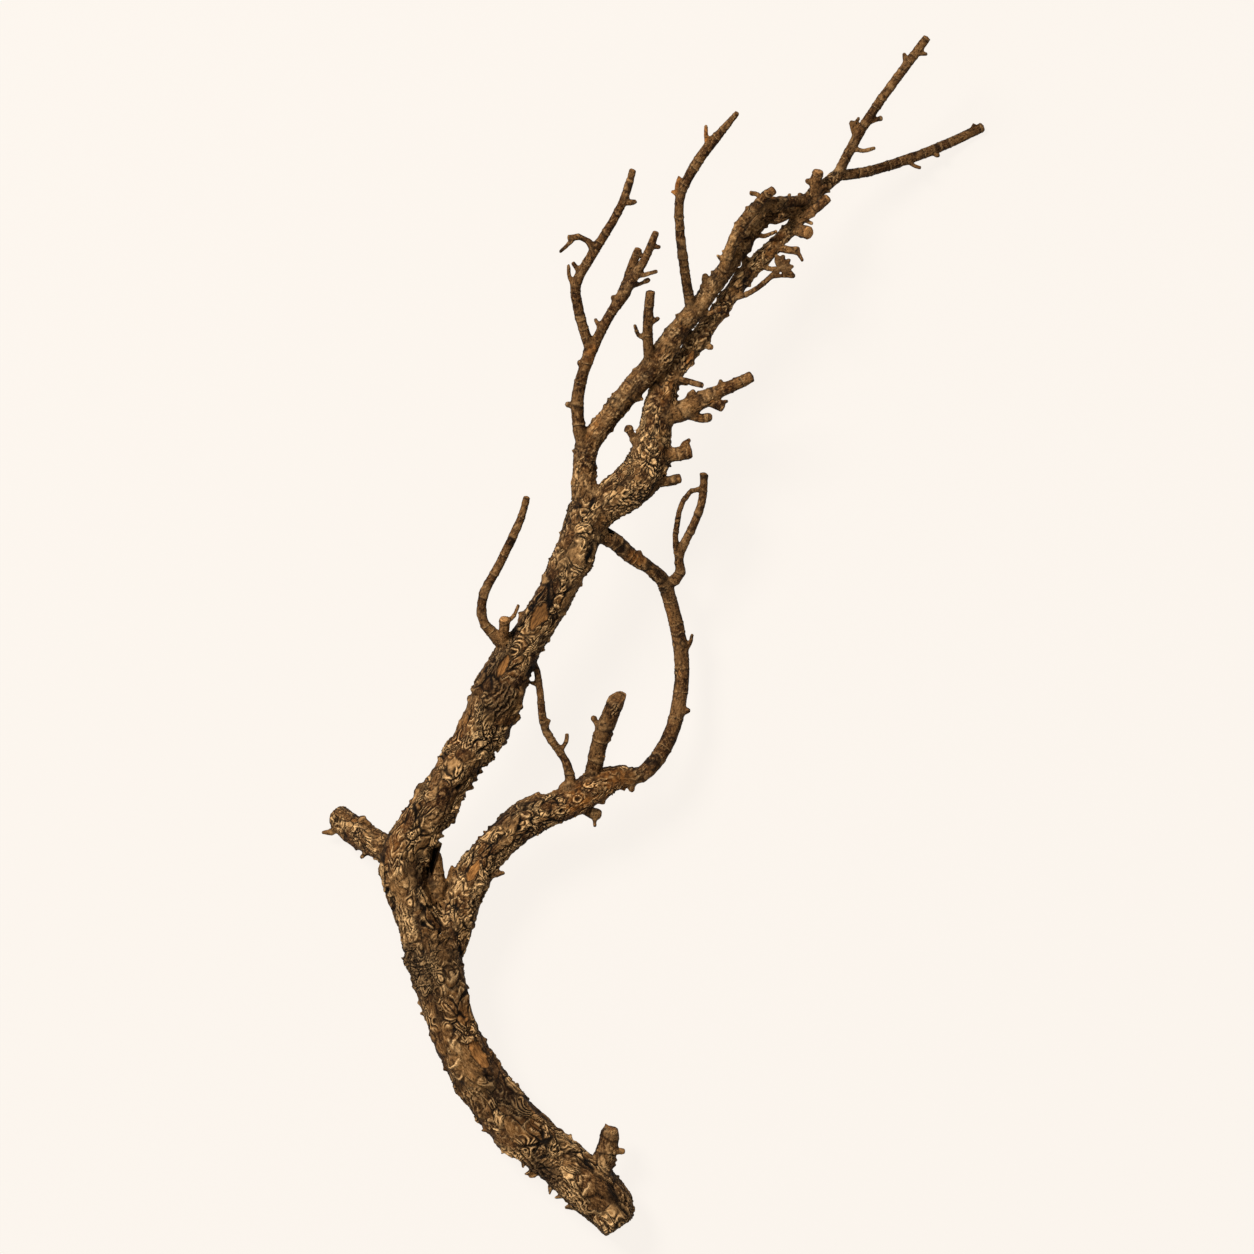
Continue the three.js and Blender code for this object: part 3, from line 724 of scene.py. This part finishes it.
def add_ends(marks, normals, near, flow, radius):
    """Bare end grain with rings where a limb is cut or snapped off."""
    for k, limb in enumerate(limbs):
        own = np.nonzero(near["limb"][0] == k)[0]
        if not len(own) or limb["end"] == "open":
            continue
        facing = normals[own] @ limb["direction"][-1]
        past = near["s"][0][own] - (limb["length"] - 0.9 - 0.25 * radius[own])
        face = smoothstep(0.55, 0.8, facing) * smoothstep(0.0, 0.6, past)
        off = np.hypot(flow[own, 0], flow[own, 1])
        rings = np.cos(2.0 * np.pi * off / 0.8)
        raise_mark(marks, "bare", own, face)
        marks["cracks_and_groove_shade"][own] = marks["cracks_and_groove_shade"][own] * (1 - face) + face * 0.35 * smoothstep(0.2, 0.9, -rings)
        pith = face * (1.0 - smoothstep(0.12, 0.22, off / np.maximum(radius[own], 0.5)))
        raise_mark(marks, "hollow_shade_and_pith", own, 0.8 * pith)


# ---------------------------------------------------------------- closed pieces

def piece_numbers(quads, owner):
    """The piece of each quad, with small islands given to the piece round them."""
    number = owner[quads[:, 0]].copy()
    for _ in range(3):
        pairs = np.vstack([quads[:, [i, (i + 1) % 4]] for i in range(4)])
        face = np.tile(np.arange(len(quads)), 4)
        key = np.sort(pairs, axis=1)
        order = np.lexsort((key[:, 1], key[:, 0]))
        same = np.all(key[order[:-1]] == key[order[1:]], axis=1)
        left, right = face[order[:-1]][same], face[order[1:]][same]
        alike = number[left] == number[right]
        label = labels_of(len(quads), np.stack([left[alike], right[alike]], 1))
        size = np.bincount(label, minlength=len(quads))[label]
        small = size < SMALL_ISLAND
        if not small.any():
            return number
        for a, b in ((left, right), (right, left)):
            take = small[a] & ~small[b]
            number[a[take]] = number[b[take]]
        for value in np.unique(label[small]):
            inside = label == value
            values = np.bincount(number[inside])
            number[inside] = values.argmax()
    return number


def piece_mesh(points, normals, quads, marks):
    """A closed mesh: the quads, and a cap inside the wood at each fork."""
    used = np.unique(quads)
    index = np.full(len(points), -1)
    index[used] = np.arange(len(used))
    local = index[quads]
    count = len(used)
    pairs = np.vstack([local[:, [i, (i + 1) % 4]] for i in range(4)])
    code = pairs[:, 0].astype(np.int64) * count + pairs[:, 1]
    back = pairs[:, 1].astype(np.int64) * count + pairs[:, 0]
    open_edges = pairs[~np.isin(code, back)]
    verts = points[used]
    caps = []
    carried = {key: value[used] for key, value in marks.items()}
    vertex_normals = normals[used]
    if len(open_edges):
        label = labels_of(count, open_edges)
        for value in np.unique(label[open_edges[:, 0]]):
            loop = open_edges[label[open_edges[:, 0]] == value]
            centre = verts[loop[:, 0]].mean(0)
            reach = np.linalg.norm(verts[loop[:, 0]] - centre, axis=1).mean()
            centre = centre - vertex_normals[loop[:, 0]].mean(0) * 0.9 * reach
            caps += [(int(b), int(a), len(verts)) for a, b in loop]
            verts = np.vstack([verts, centre])
            vertex_normals = np.vstack([vertex_normals, vertex_normals[loop[:, 0]].mean(0)])
            for key in carried:
                mean = carried[key][loop[:, 0]].mean(0, keepdims=True)
                carried[key] = np.concatenate([carried[key], mean])
    return verts, local.tolist() + caps, vertex_normals, carried


def write_piece(name, verts, faces, vertex_normals, marks, material):
    mesh = bpy.data.meshes.new(name)
    mesh.from_pydata((verts * METRES).tolist(), [], faces)
    mesh.polygons.foreach_set("use_smooth", np.ones(len(mesh.polygons), bool))
    corner = np.empty(len(mesh.loops), np.int32)
    mesh.loops.foreach_get("vertex_index", corner)
    mesh.normals_split_custom_set(vertex_normals[corner].tolist())
    for key, value in marks.items():
        kind = "FLOAT_VECTOR" if value.ndim == 2 else "FLOAT"
        attribute = mesh.attributes.new(key, kind, "POINT")
        attribute.data.foreach_set("vector" if value.ndim == 2 else "value", value.astype(np.float32).ravel())
    mesh.materials.append(material)
    piece = bpy.data.objects.new(name + "_bark", mesh)
    bpy.context.scene.collection.objects.link(piece)
    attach(piece, "root")
    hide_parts(name)
    return piece


# ---------------------------------------------------------------- materials

def linear(r, g, b):
    """A colour given as the eye sees it, 0 to 255, in the values that light uses."""
    def one(x):
        x = x / 255.0
        return x / 12.92 if x <= 0.04045 else ((x + 0.055) / 1.055) ** 2.4
    return (one(r), one(g), one(b), 1.0)


class Nodes:
    """Short names for building a material's nodes."""

    def __init__(self, name):
        self.material = bpy.data.materials.new(name)
        self.material.use_nodes = True
        self.tree = self.material.node_tree
        self.tree.nodes.clear()

    def new(self, kind, **values):
        node = self.tree.nodes.new(kind)
        for key, value in values.items():
            setattr(node, key, value)
        return node

    def link(self, source, target):
        self.tree.links.new(source, target)

    def put(self, value, socket):
        if isinstance(value, bpy.types.NodeSocket):
            self.link(value, socket)
        else:
            socket.default_value = value

    def mark(self, name, vector=False):
        node = self.new("ShaderNodeAttribute", attribute_name=name)
        return node.outputs["Vector" if vector else "Fac"]

    def math(self, operation, a, b=0.0, c=0.0, clamp=False):
        node = self.new("ShaderNodeMath", operation=operation, use_clamp=clamp)
        for value, socket in zip((a, b, c), node.inputs):
            self.put(value, socket)
        return node.outputs[0]

    def times(self, a, b, clamp=False):
        return self.math("MULTIPLY", a, b, clamp=clamp)

    def spread(self, value, low, high, to_low=0.0, to_high=1.0):
        node = self.new("ShaderNodeMapRange", interpolation_type="SMOOTHSTEP")
        for v, socket in zip((value, low, high, to_low, to_high), node.inputs):
            self.put(v, socket)
        return node.outputs[0]

    def stretched(self, vector, factors):
        node = self.new("ShaderNodeVectorMath", operation="MULTIPLY")
        self.link(vector, node.inputs[0])
        node.inputs[1].default_value = factors
        return node.outputs[0]

    def noise(self, vector, scale, detail=3.0, distortion=0.0, rough=0.55):
        node = self.new("ShaderNodeTexNoise")
        self.link(vector, node.inputs["Vector"])
        node.inputs["Scale"].default_value = scale
        node.inputs["Detail"].default_value = detail
        node.inputs["Roughness"].default_value = rough
        node.inputs["Distortion"].default_value = distortion
        return node.outputs["Fac"]

    def mix(self, factor, a, b, blend="MIX"):
        node = self.new("ShaderNodeMix", data_type="RGBA", blend_type=blend)
        self.put(factor, node.inputs[0])
        self.put(a, node.inputs[6])
        self.put(b, node.inputs[7])
        return node.outputs[2]


CONTRAST = 1.45


def bark_material(name, colours):
    """Bark, bare wood and cut ends, mixed by the marks that each point carries."""
    n = Nodes(name)
    paint = {key: linear(*value) for key, value in colours.items() if key != "gain"}
    flow = n.mark("flow", True)
    cracks_and_groove_shade, ridge_highlight, tone, rough = n.mark("cracks_and_groove_shade"), n.mark("ridge_highlight"), n.mark("tone"), n.mark("rough")
    bare, warm, pale, dark, hollow_shade_and_pith = (n.mark(x) for x in ("bare", "warm", "pale", "dark", "hollow_shade_and_pith"))
    sleek, painted_side_shade = n.mark("sleek"), n.mark("painted_side_shade")

    patch = n.noise(flow, 0.45, 4.0, 0.8)
    fine = n.noise(n.stretched(flow, (1.0, 1.0, 0.6)), 1.1, 5.0, 0.6, 0.7)
    specks = n.noise(flow, 2.6, 2.0, 0.0, 0.6)
    grain = n.noise(n.stretched(flow, (1.0, 1.0, 0.12)), 2.6, 4.0, 0.4, 0.6)
    blotch = n.mark("blotch")
    wave = n.math("COSINE", n.math("ADD", n.mark("phase"), n.times(fine, 1.6)))
    where = n.times(n.mark("drawn"),
                   n.math("SUBTRACT", 1.0, n.math("MAXIMUM", bare, sleek), clamp=True))
    # painted shade in the valleys of the drawn lines and painted highlight on their ridges, which the bump also
    # lowers and raises
    line_valley_shade = n.times(n.spread(wave, -0.2, -0.85), where)
    line_ridge_highlight = n.times(n.spread(wave, 0.4, 0.95), where)

    base = n.mix(n.spread(patch, 0.36, 0.64), paint["deep"], paint["middle"])
    base = n.mix(n.times(blotch, 0.55), base, paint["tan"])
    base = n.mix(n.spread(blotch, 0.25, 0.0, 0.0, 0.3), base, paint["deep"])
    base = n.mix(n.times(n.spread(tone, 0.5, 0.95), 0.6), base, paint["light"])
    base = n.mix(n.times(n.spread(tone, 0.45, 0.1), n.times(rough, 0.45)), base,
                 paint["deep"])
    base = n.mix(n.times(sleek, 0.7), base, paint["tan"])
    base = n.mix(n.spread(fine, 0.5, 0.68, 0.0, 0.65), base, paint["light"])
    base = n.mix(n.spread(fine, 0.5, 0.32, 0.0, 0.95), base, paint["line"])
    base = n.mix(n.times(warm, 0.7, clamp=True), base,
                 n.mix(n.spread(patch, 0.35, 0.65), linear(102, 70, 38), linear(154, 112, 64)))
    base = n.mix(n.times(line_ridge_highlight, n.spread(specks, 0.3, 0.6, 0.3, 0.8)), base, paint["ridge_highlight"])
    base = n.mix(n.times(line_valley_shade, 0.85), base, paint["line"])
    # painted highlight on ridges and raised lips
    base = n.mix(n.times(ridge_highlight, n.spread(specks, 0.3, 0.6, 0.25, 0.85)), base, paint["ridge_highlight"])
    # near-black in the cracks, and painted shade in grooves and troughs
    base = n.mix(n.times(cracks_and_groove_shade, 0.95, clamp=True), base, paint["line"])

    wood = n.mix(n.spread(grain, 0.35, 0.65), paint["wood_dark"], paint["wood"])
    wood = n.mix(n.spread(grain, 0.62, 0.75, 0.0, 0.6), wood, paint["wood_light"])
    wood = n.mix(n.times(warm, 0.75, clamp=True), wood,
                 n.mix(n.spread(grain, 0.35, 0.65), linear(110, 82, 50), linear(156, 120, 76)))
    wood = n.mix(n.times(cracks_and_groove_shade, 0.8, clamp=True), wood, paint["line"])
    base = n.mix(bare, base, wood)
    # pale specks: painted glints
    base = n.mix(n.times(pale, n.spread(specks, 0.25, 0.55, 0.5, 1.0)), base, linear(140, 121, 96))
    base = n.mix(n.times(dark, 0.75, clamp=True), base, linear(30, 20, 12))
    # painted shade on the sides that face away from the top
    base = n.mix(n.times(painted_side_shade, 0.55, clamp=True), base, linear(24, 15, 9))
    # near-black painted shade in hollows, pits, knot eyes and the step round bare patches, and the dark pith of cut
    # ends
    base = n.mix(n.times(hollow_shade_and_pith, 0.92, clamp=True), base, linear(12, 8, 5))
    gamma = n.new("ShaderNodeGamma")
    n.link(base, gamma.inputs[0])
    gamma.inputs[1].default_value = CONTRAST
    base = n.mix(1.0, gamma.outputs[0], (colours["gain"],) * 3 + (1.0,), "MULTIPLY")

    height = n.math("ADD", n.times(fine, 0.6), n.times(specks, 0.4))
    height = n.math("SUBTRACT", height, n.times(cracks_and_groove_shade, 0.4))
    height = n.math("SUBTRACT", height, n.times(line_valley_shade, 0.5))
    height = n.math("ADD", height, n.times(line_ridge_highlight, 0.3))
    height = n.math("ADD", height, n.times(n.times(grain, bare), 0.5))
    bump = n.new("ShaderNodeBump")
    bump.inputs["Strength"].default_value = 0.6
    bump.inputs["Distance"].default_value = 0.0009
    n.link(height, bump.inputs["Height"])

    shader = n.new("ShaderNodeBsdfPrincipled")
    shader.inputs["Specular IOR Level"].default_value = 0.1
    n.link(base, shader.inputs["Base Color"])
    n.link(n.spread(fine, 0.3, 0.7, 0.9, 0.66), shader.inputs["Roughness"])
    n.link(bump.outputs[0], shader.inputs["Normal"])
    output = n.new("ShaderNodeOutputMaterial")
    n.link(shader.outputs[0], output.inputs["Surface"])
    return n.material


# ---------------------------------------------------------------- what grows where

def forks_on(name):
    """The share and angle at which each side limb leaves a limb, and that side limb's radius."""
    limb, found = limb_named[name], []
    for child in [child for child, parent in PARENT.items() if parent == name]:
        foot = limb_named[child]
        share = float(np.clip(nearest_station(limb, foot["place"][:1])[0][0] / limb["length"], 0.0, 1.0))
        place, _, side, up, _ = frame_at(limb, share)
        clear = min(len(foot["place"]) - 1, int(1.5 * limb["mean"] / STATION))
        off = foot["place"][clear] - place
        found.append((share, math.degrees(math.atan2(off @ side, off @ up)), foot["mean"]))
    return sorted(found)


def swelling_of(limb):
    """The share at which a limb is thickest for its surroundings, and how much thicker it is there."""
    size = limb["radius"]
    count = len(size)
    reach = max(3, int(0.16 * count))
    around = np.array([size[max(0, i - reach):i + reach + 1].mean() for i in range(count)])
    first, last = int(0.2 * count), max(int(0.2 * count) + 1, int(0.85 * count))
    ratio = (size / around)[first:last]
    return (first + int(ratio.argmax())) / count, float(ratio.max())


def mark_places():
    """Marks at the forks, on the swellings and worn limbs, and scattered between them."""
    draw = np.random.default_rng(31)
    rows = []
    for name in names:
        limb = limb_named[name]
        thick = limb["mean"]
        for kind, rate, long, wide, strength in SCATTERED:
            if thick < TWIG and kind not in ON_TWIGS:
                continue
            scale = thick if kind in ("bump", "pit") else 1.0
            for _ in range(draw.poisson(rate * limb["length"] / 100.0)):
                rows.append((name, draw.uniform(0.05, 0.95), draw.uniform(-90.0, 90.0), kind,
                             thick * draw.uniform(*long), thick * draw.uniform(*wide),
                             scale * draw.uniform(*strength)))
        for share, turn, size in forks_on(name):
            rows.append((name, share, turn, "folds", 1.5 * size, 1.4 * size, 0.6))
            # a darker patch round each fork: painted shade where the side limb meets its limb
            rows.append((name, share, turn, "dark", 2.0 * size, 1.6 * size, 0.55))
        share, ratio = swelling_of(limb)
        if ratio > SWOLLEN and thick > TWIG:
            for _ in range(6):
                rows.append((name, share + draw.uniform(-0.05, 0.05), draw.uniform(-85.0, 60.0), "bump",
                             0.4 * thick, 0.35 * thick, 0.2 * thick))
            rows.append((name, share, 0.0, "dark", 1.5 * thick, thick, 0.7))
            rows.append((name, share, 15.0, "arcs", 0.9 * thick, 0.8 * thick, 0.9))
            rows.append((name, share, -10.0, "warm", 0.5 * thick, 0.35 * thick, 0.8))
    for name, strength in WORN.items():
        limb, forks = limb_named[name], forks_on(name)
        middle = float(np.mean([share for share, _, _ in forks])) if forks else 0.5
        rows.append((name, middle, 20.0, "warm", 0.15 * limb["length"], 1.6 * limb["mean"], strength))
    return rows


def side_growth():
    """Small side growth: its limb, share, angle, radius at its foot, end, and lengths for spur_line."""
    draw = np.random.default_rng(32)
    ends, odds = list(SPROUTS), list(SPROUTS.values())

    def lengths(limb, share, leans, sizes):
        direction = frame_at(limb, share)[1]
        ahead = math.degrees(math.atan2(direction[1], direction[0]))
        return [(long, ahead + lean, draw.uniform(0.0, 10.0), size)
                for (long, lean), size in zip(leans, sizes)]

    rows = []
    for name in names:
        limb = limb_named[name]
        spacing = 100.0 if limb["mean"] > STOUT else 20.0
        for _ in range(draw.poisson(limb["length"] / spacing)):
            share, side = draw.uniform(0.1, 0.97) ** 0.8, draw.choice([-1.0, 1.0])
            radius = frame_at(limb, share)[4]
            foot = float(np.clip(0.3 * radius, 0.8, 1.8))
            leans = [(draw.uniform(1.6, 4.0), -side * draw.uniform(35.0, 80.0))]
            if draw.uniform() < 0.5:
                leans.append((draw.uniform(2.5, 6.5), -side * draw.uniform(0.0, 50.0)))
            end = "fresh" if name == "tall_twig" else str(draw.choice(ends, p=odds))
            tip = 0.5 if end in ("point", "fresh") else 0.9 * foot
            sizes = [0.85 * foot, tip][-len(leans):]
            rows.append((name, share, side * draw.uniform(55.0, 85.0), foot, end,
                         lengths(limb, share, leans, sizes)))
    tuft = limb_named["bundle_twig_fine"]
    for lean in (-70.0, -35.0, 0.0, 35.0, 70.0):
        leans = [(2.4, lean), (2.7, 0.8 * lean)]
        rows.append(("bundle_twig_fine", 0.92, -lean, 0.8, "point", lengths(tuft, 0.92, leans, [1.1, 0.5])))
    crotch = limb_named["crotch_stub"]
    rows.append(("crotch_stub", 0.5, -75.0, 2.8, "strand",
                 lengths(crotch, 0.5, [(3.5, 35), (8.0, 0)], [2.6, 1.6])))
    return rows


def flake_bands():
    """Loose flakes: limb, shares from and to, middle angle and spread round it, how many, length."""
    rows = []
    for name in names:
        limb = limb_named[name]
        if limb["mean"] < 3.0:
            continue
        for turn, spread, every in ((-86.0, 17.0, 6.0), (86.0, 17.0, 6.0), (0.0, 60.0, 4.5)):
            rows.append((name, 0.05, 0.95, turn, spread, int(limb["length"] / every),
                         float(np.clip(0.17 * limb["mean"], 1.2, 1.8))))
    shares = [share for share, _, _ in forks_on("main_limb")]
    rows.append(("main_limb", shares[0], swelling_of(limb_named["main_limb"])[0], 84.0, 20.0, 40, 3.2))
    return rows


# ---------------------------------------------------------------- build

names = list(PARENT)
solids = {name: node_mesh(name) for name in PARENT}
limbs = [limb_from_node(name) for name in PARENT]
limb_named = {limb["name"]: limb for limb in limbs}
slots = {row["node"]: row["material_slot"] for row in frame["record"]["subparts"]}
for name in ("trunk", "main_limb", "right_limb", "loop_branch", "left_upper_branch", "right_upper_branch",
             "fork_twig", "loop_arm", "bundle_strand", "bundle_twig_fine"):
    limb_named[name]["end"] = "open"

parts = [solids[name] for name in PARENT]
for i, (on, *spur) in enumerate(side_growth()):
    line, size = spur_line(on, *spur)
    parts.append(tube(line, np.maximum(size, 0.5)))
    limbs.append(make_limb("spur_%d" % i, on, line, size))
    limbs[-1]["end"] = "cut" if spur[3] == "cut" else "open"
    limbs[-1]["stain"] = {"strand": ("dark", 0.7), "fresh": ("warm", 0.95)}.get(spur[3])

shells, flake_places, flake_reaches = loose_flakes()
points, quads = joined_surface(parts + shells)
edges = edges_of(quads)
near = places_on_limbs(points)
limb_radius = np.array([limb["mean"] for limb in limbs])[near["limb"][0]]
ease = np.clip(limb_radius / EASED_FULLY, LEAST_EASE, MOST_EASE)[:, None]
close = guarded(points, flake_places, flake_reaches)
ease *= 1.0 - HELD * close[:, None]
for _ in range(SMOOTH_ROUNDS):
    points += (average_of_neighbours(points, edges, len(points)) - points) * ease
near = places_on_limbs(points)
height, marks, (flow, radius, _, angle) = blended(near, points, bark_height)
for key in ("bare", "warm", "pale", "dark", "hollow_shade_and_pith", "sleek"):
    marks[key] = np.zeros(len(points))
normals = point_normals(points, quads)
add_marks(height, marks, near["limb"][0], flow, radius, angle)
add_stains(marks, near["limb"][0])
add_ends(marks, normals, near, flow, radius)
# painted shade: the colour darkens where the surface faces sideways and down, and more on the thin limbs, which
# gives each limb a dark rim
facing_up = normals[:, 2]
marks["painted_side_shade"] = 0.6 * (1.0 - smoothstep(0.05, 0.8, facing_up))
marks["painted_side_shade"] += 0.6 * (1.0 - smoothstep(0.0, 0.42, facing_up))
marks["painted_side_shade"] *= np.where(limb_radius < 4.0, 1.25, 1.0)
height *= 1.0 - CALMED * close
points = points + normals * height[:, None]
points[:, 2] = np.maximum(points[:, 2], 0.0)

normals = point_normals(points, quads)
inward = average_of_neighbours(points, edges, len(points)) - points
curve = np.sum(inward * normals, axis=1) / CELL
# painted shade in the concave hollows, from the surface's curvature
marks["hollow_shade_and_pith"] = np.maximum(marks["hollow_shade_and_pith"], smoothstep(0.1, 0.42, curve))
# painted highlight on the convex ridges, from the surface's curvature
marks["ridge_highlight"] = np.clip(marks["ridge_highlight"] + 0.5 * smoothstep(0.08, 0.35, -curve), 0.0, 1.0)
on_trunk = near["limb"][0] == names.index("trunk")
marks["blotch"] = np.where(on_trunk, 0.55 + 0.45 * marks["blotch"], marks["blotch"])
marks["flow"] = flow + (near["limb"][0] * LIMB_SHIFT)[:, None]

piece_of = np.array([names.index(limb["piece"]) for limb in limbs])
number = piece_numbers(quads, piece_of[near["limb"][0]])

# ridge_highlight is the colour of the painted highlight on raised bark; line is the near-black of the cracks and of
# the painted shade in grooves and valleys
COLOURS = {
    "bark": {"deep": (58, 37, 18), "middle": (102, 76, 46), "tan": (130, 104, 72), "light": (158, 132, 98),
             "ridge_highlight": (194, 168, 131), "line": (12, 6, 2), "wood": (142, 110, 74), "wood_dark": (100, 73, 46),
             "wood_light": (176, 145, 106), "gain": 2.55},
    "young_bark": {"deep": (66, 45, 25), "middle": (100, 75, 47), "tan": (124, 99, 69),
                   "light": (150, 125, 92), "ridge_highlight": (182, 157, 122), "line": (20, 12, 6),
                   "wood": (150, 118, 80), "wood_dark": (110, 82, 52), "wood_light": (180, 149, 108), "gain": 2.2},
    "bare_wood": {"deep": (86, 63, 39), "middle": (118, 91, 61), "tan": (138, 110, 77),
                  "light": (162, 134, 98), "ridge_highlight": (184, 157, 119), "line": (28, 18, 10),
                  "wood": (176, 143, 103), "wood_dark": (132, 100, 65), "wood_light": (202, 173, 133), "gain": 2.3},
}
looks = {slot: bark_material(slot + "_look", colours) for slot, colours in COLOURS.items()}

for k, name in enumerate(names):
    own = quads[number == k]
    if not len(own):
        print("no surface for", name)
        continue
    verts, faces, vertex_normals, carried = piece_mesh(points, normals, own, marks)
    write_piece(name, verts, faces, vertex_normals, carried, looks[slots[name]])

# ---------------------------------------------------------------- floor, light and camera

PAPER = (0.965, 0.91, 0.85, 1.0)


def plain(name, verts, faces, material):
    mesh = bpy.data.meshes.new(name)
    mesh.from_pydata(verts, [], faces)
    mesh.materials.append(material)
    made = bpy.data.objects.new(name, mesh)
    bpy.context.scene.collection.objects.link(made)
    return made


def paper_material(name, glow, reflect):
    n = Nodes(name)
    shader = n.new("ShaderNodeBsdfPrincipled")
    shader.inputs["Base Color"].default_value = tuple(c * reflect for c in PAPER[:3]) + (1.0,)
    shader.inputs["Roughness"].default_value = 1.0
    shader.inputs["Specular IOR Level"].default_value = 0.0
    shader.inputs["Emission Color"].default_value = PAPER
    shader.inputs["Emission Strength"].default_value = glow
    output = n.new("ShaderNodeOutputMaterial")
    n.link(shader.outputs[0], output.inputs["Surface"])
    return n.material


FLOOR_REACH, WALL_REACH = 14.0, 13.0
WALL_LOW, WALL_HIGH, WALL_SIDES = -1.0, 9.0, 48
LAMP_TINT = (1.0, 0.97, 0.93)
CAMERA_PLACE, LENS, SENSOR = (-0.0128, 0.0050, 4.2), 283.0, 36.0
plain("floor", [(-FLOOR_REACH, -FLOOR_REACH, 0), (FLOOR_REACH, -FLOOR_REACH, 0),
                (FLOOR_REACH, FLOOR_REACH, 0), (-FLOOR_REACH, FLOOR_REACH, 0)],
      [(0, 1, 2, 3)], paper_material("floor_paper", 0.945, 0.05))
turns = [2.0 * math.pi * i / WALL_SIDES for i in range(WALL_SIDES)]
wall_ring = [(WALL_REACH * math.cos(a), WALL_REACH * math.sin(a), z)
             for z in (WALL_LOW, WALL_HIGH) for a in turns]
after = [(i + 1) % WALL_SIDES for i in range(WALL_SIDES)]
wall = plain("backdrop", wall_ring, [(i, j, WALL_SIDES + j, WALL_SIDES + i) for i, j in enumerate(after)],
             paper_material("backdrop_paper", 0.962, 0.0))
for ray in ("diffuse", "glossy", "transmission", "volume_scatter", "shadow"):
    setattr(wall, "visible_" + ray, False)

scene = bpy.context.scene
world = bpy.data.worlds.new("room")
world.use_nodes = True
world.node_tree.nodes["Background"].inputs[0].default_value = LAMP_TINT + (1.0,)
world.node_tree.nodes["Background"].inputs[1].default_value = 0.10
scene.world = world


def soft_light(name, place, size, power):
    lamp = bpy.data.lights.new(name, "AREA")
    lamp.shape = "DISK"
    lamp.size = size
    lamp.energy = power
    lamp.color = LAMP_TINT
    made = bpy.data.objects.new(name, lamp)
    made.location = place
    made.rotation_mode = "QUATERNION"
    made.rotation_quaternion = (-Vector(place)).to_track_quat("-Z", "Y")
    scene.collection.objects.link(made)
    return made


soft_light("key_light", (-1.7, 1.6, 2.7), 1.2, 165.0)
soft_light("top_light", (0.1, 0.2, 3.6), 1.0, 30.0)

camera_data = bpy.data.cameras.new("camera")
camera_data.lens = LENS
camera_data.sensor_width = SENSOR
camera_data.clip_start, camera_data.clip_end = 0.1, 300.0
camera = bpy.data.objects.new("camera", camera_data)
camera.location = CAMERA_PLACE
scene.collection.objects.link(camera)
scene.camera = camera
scene.view_settings.view_transform = "Standard"
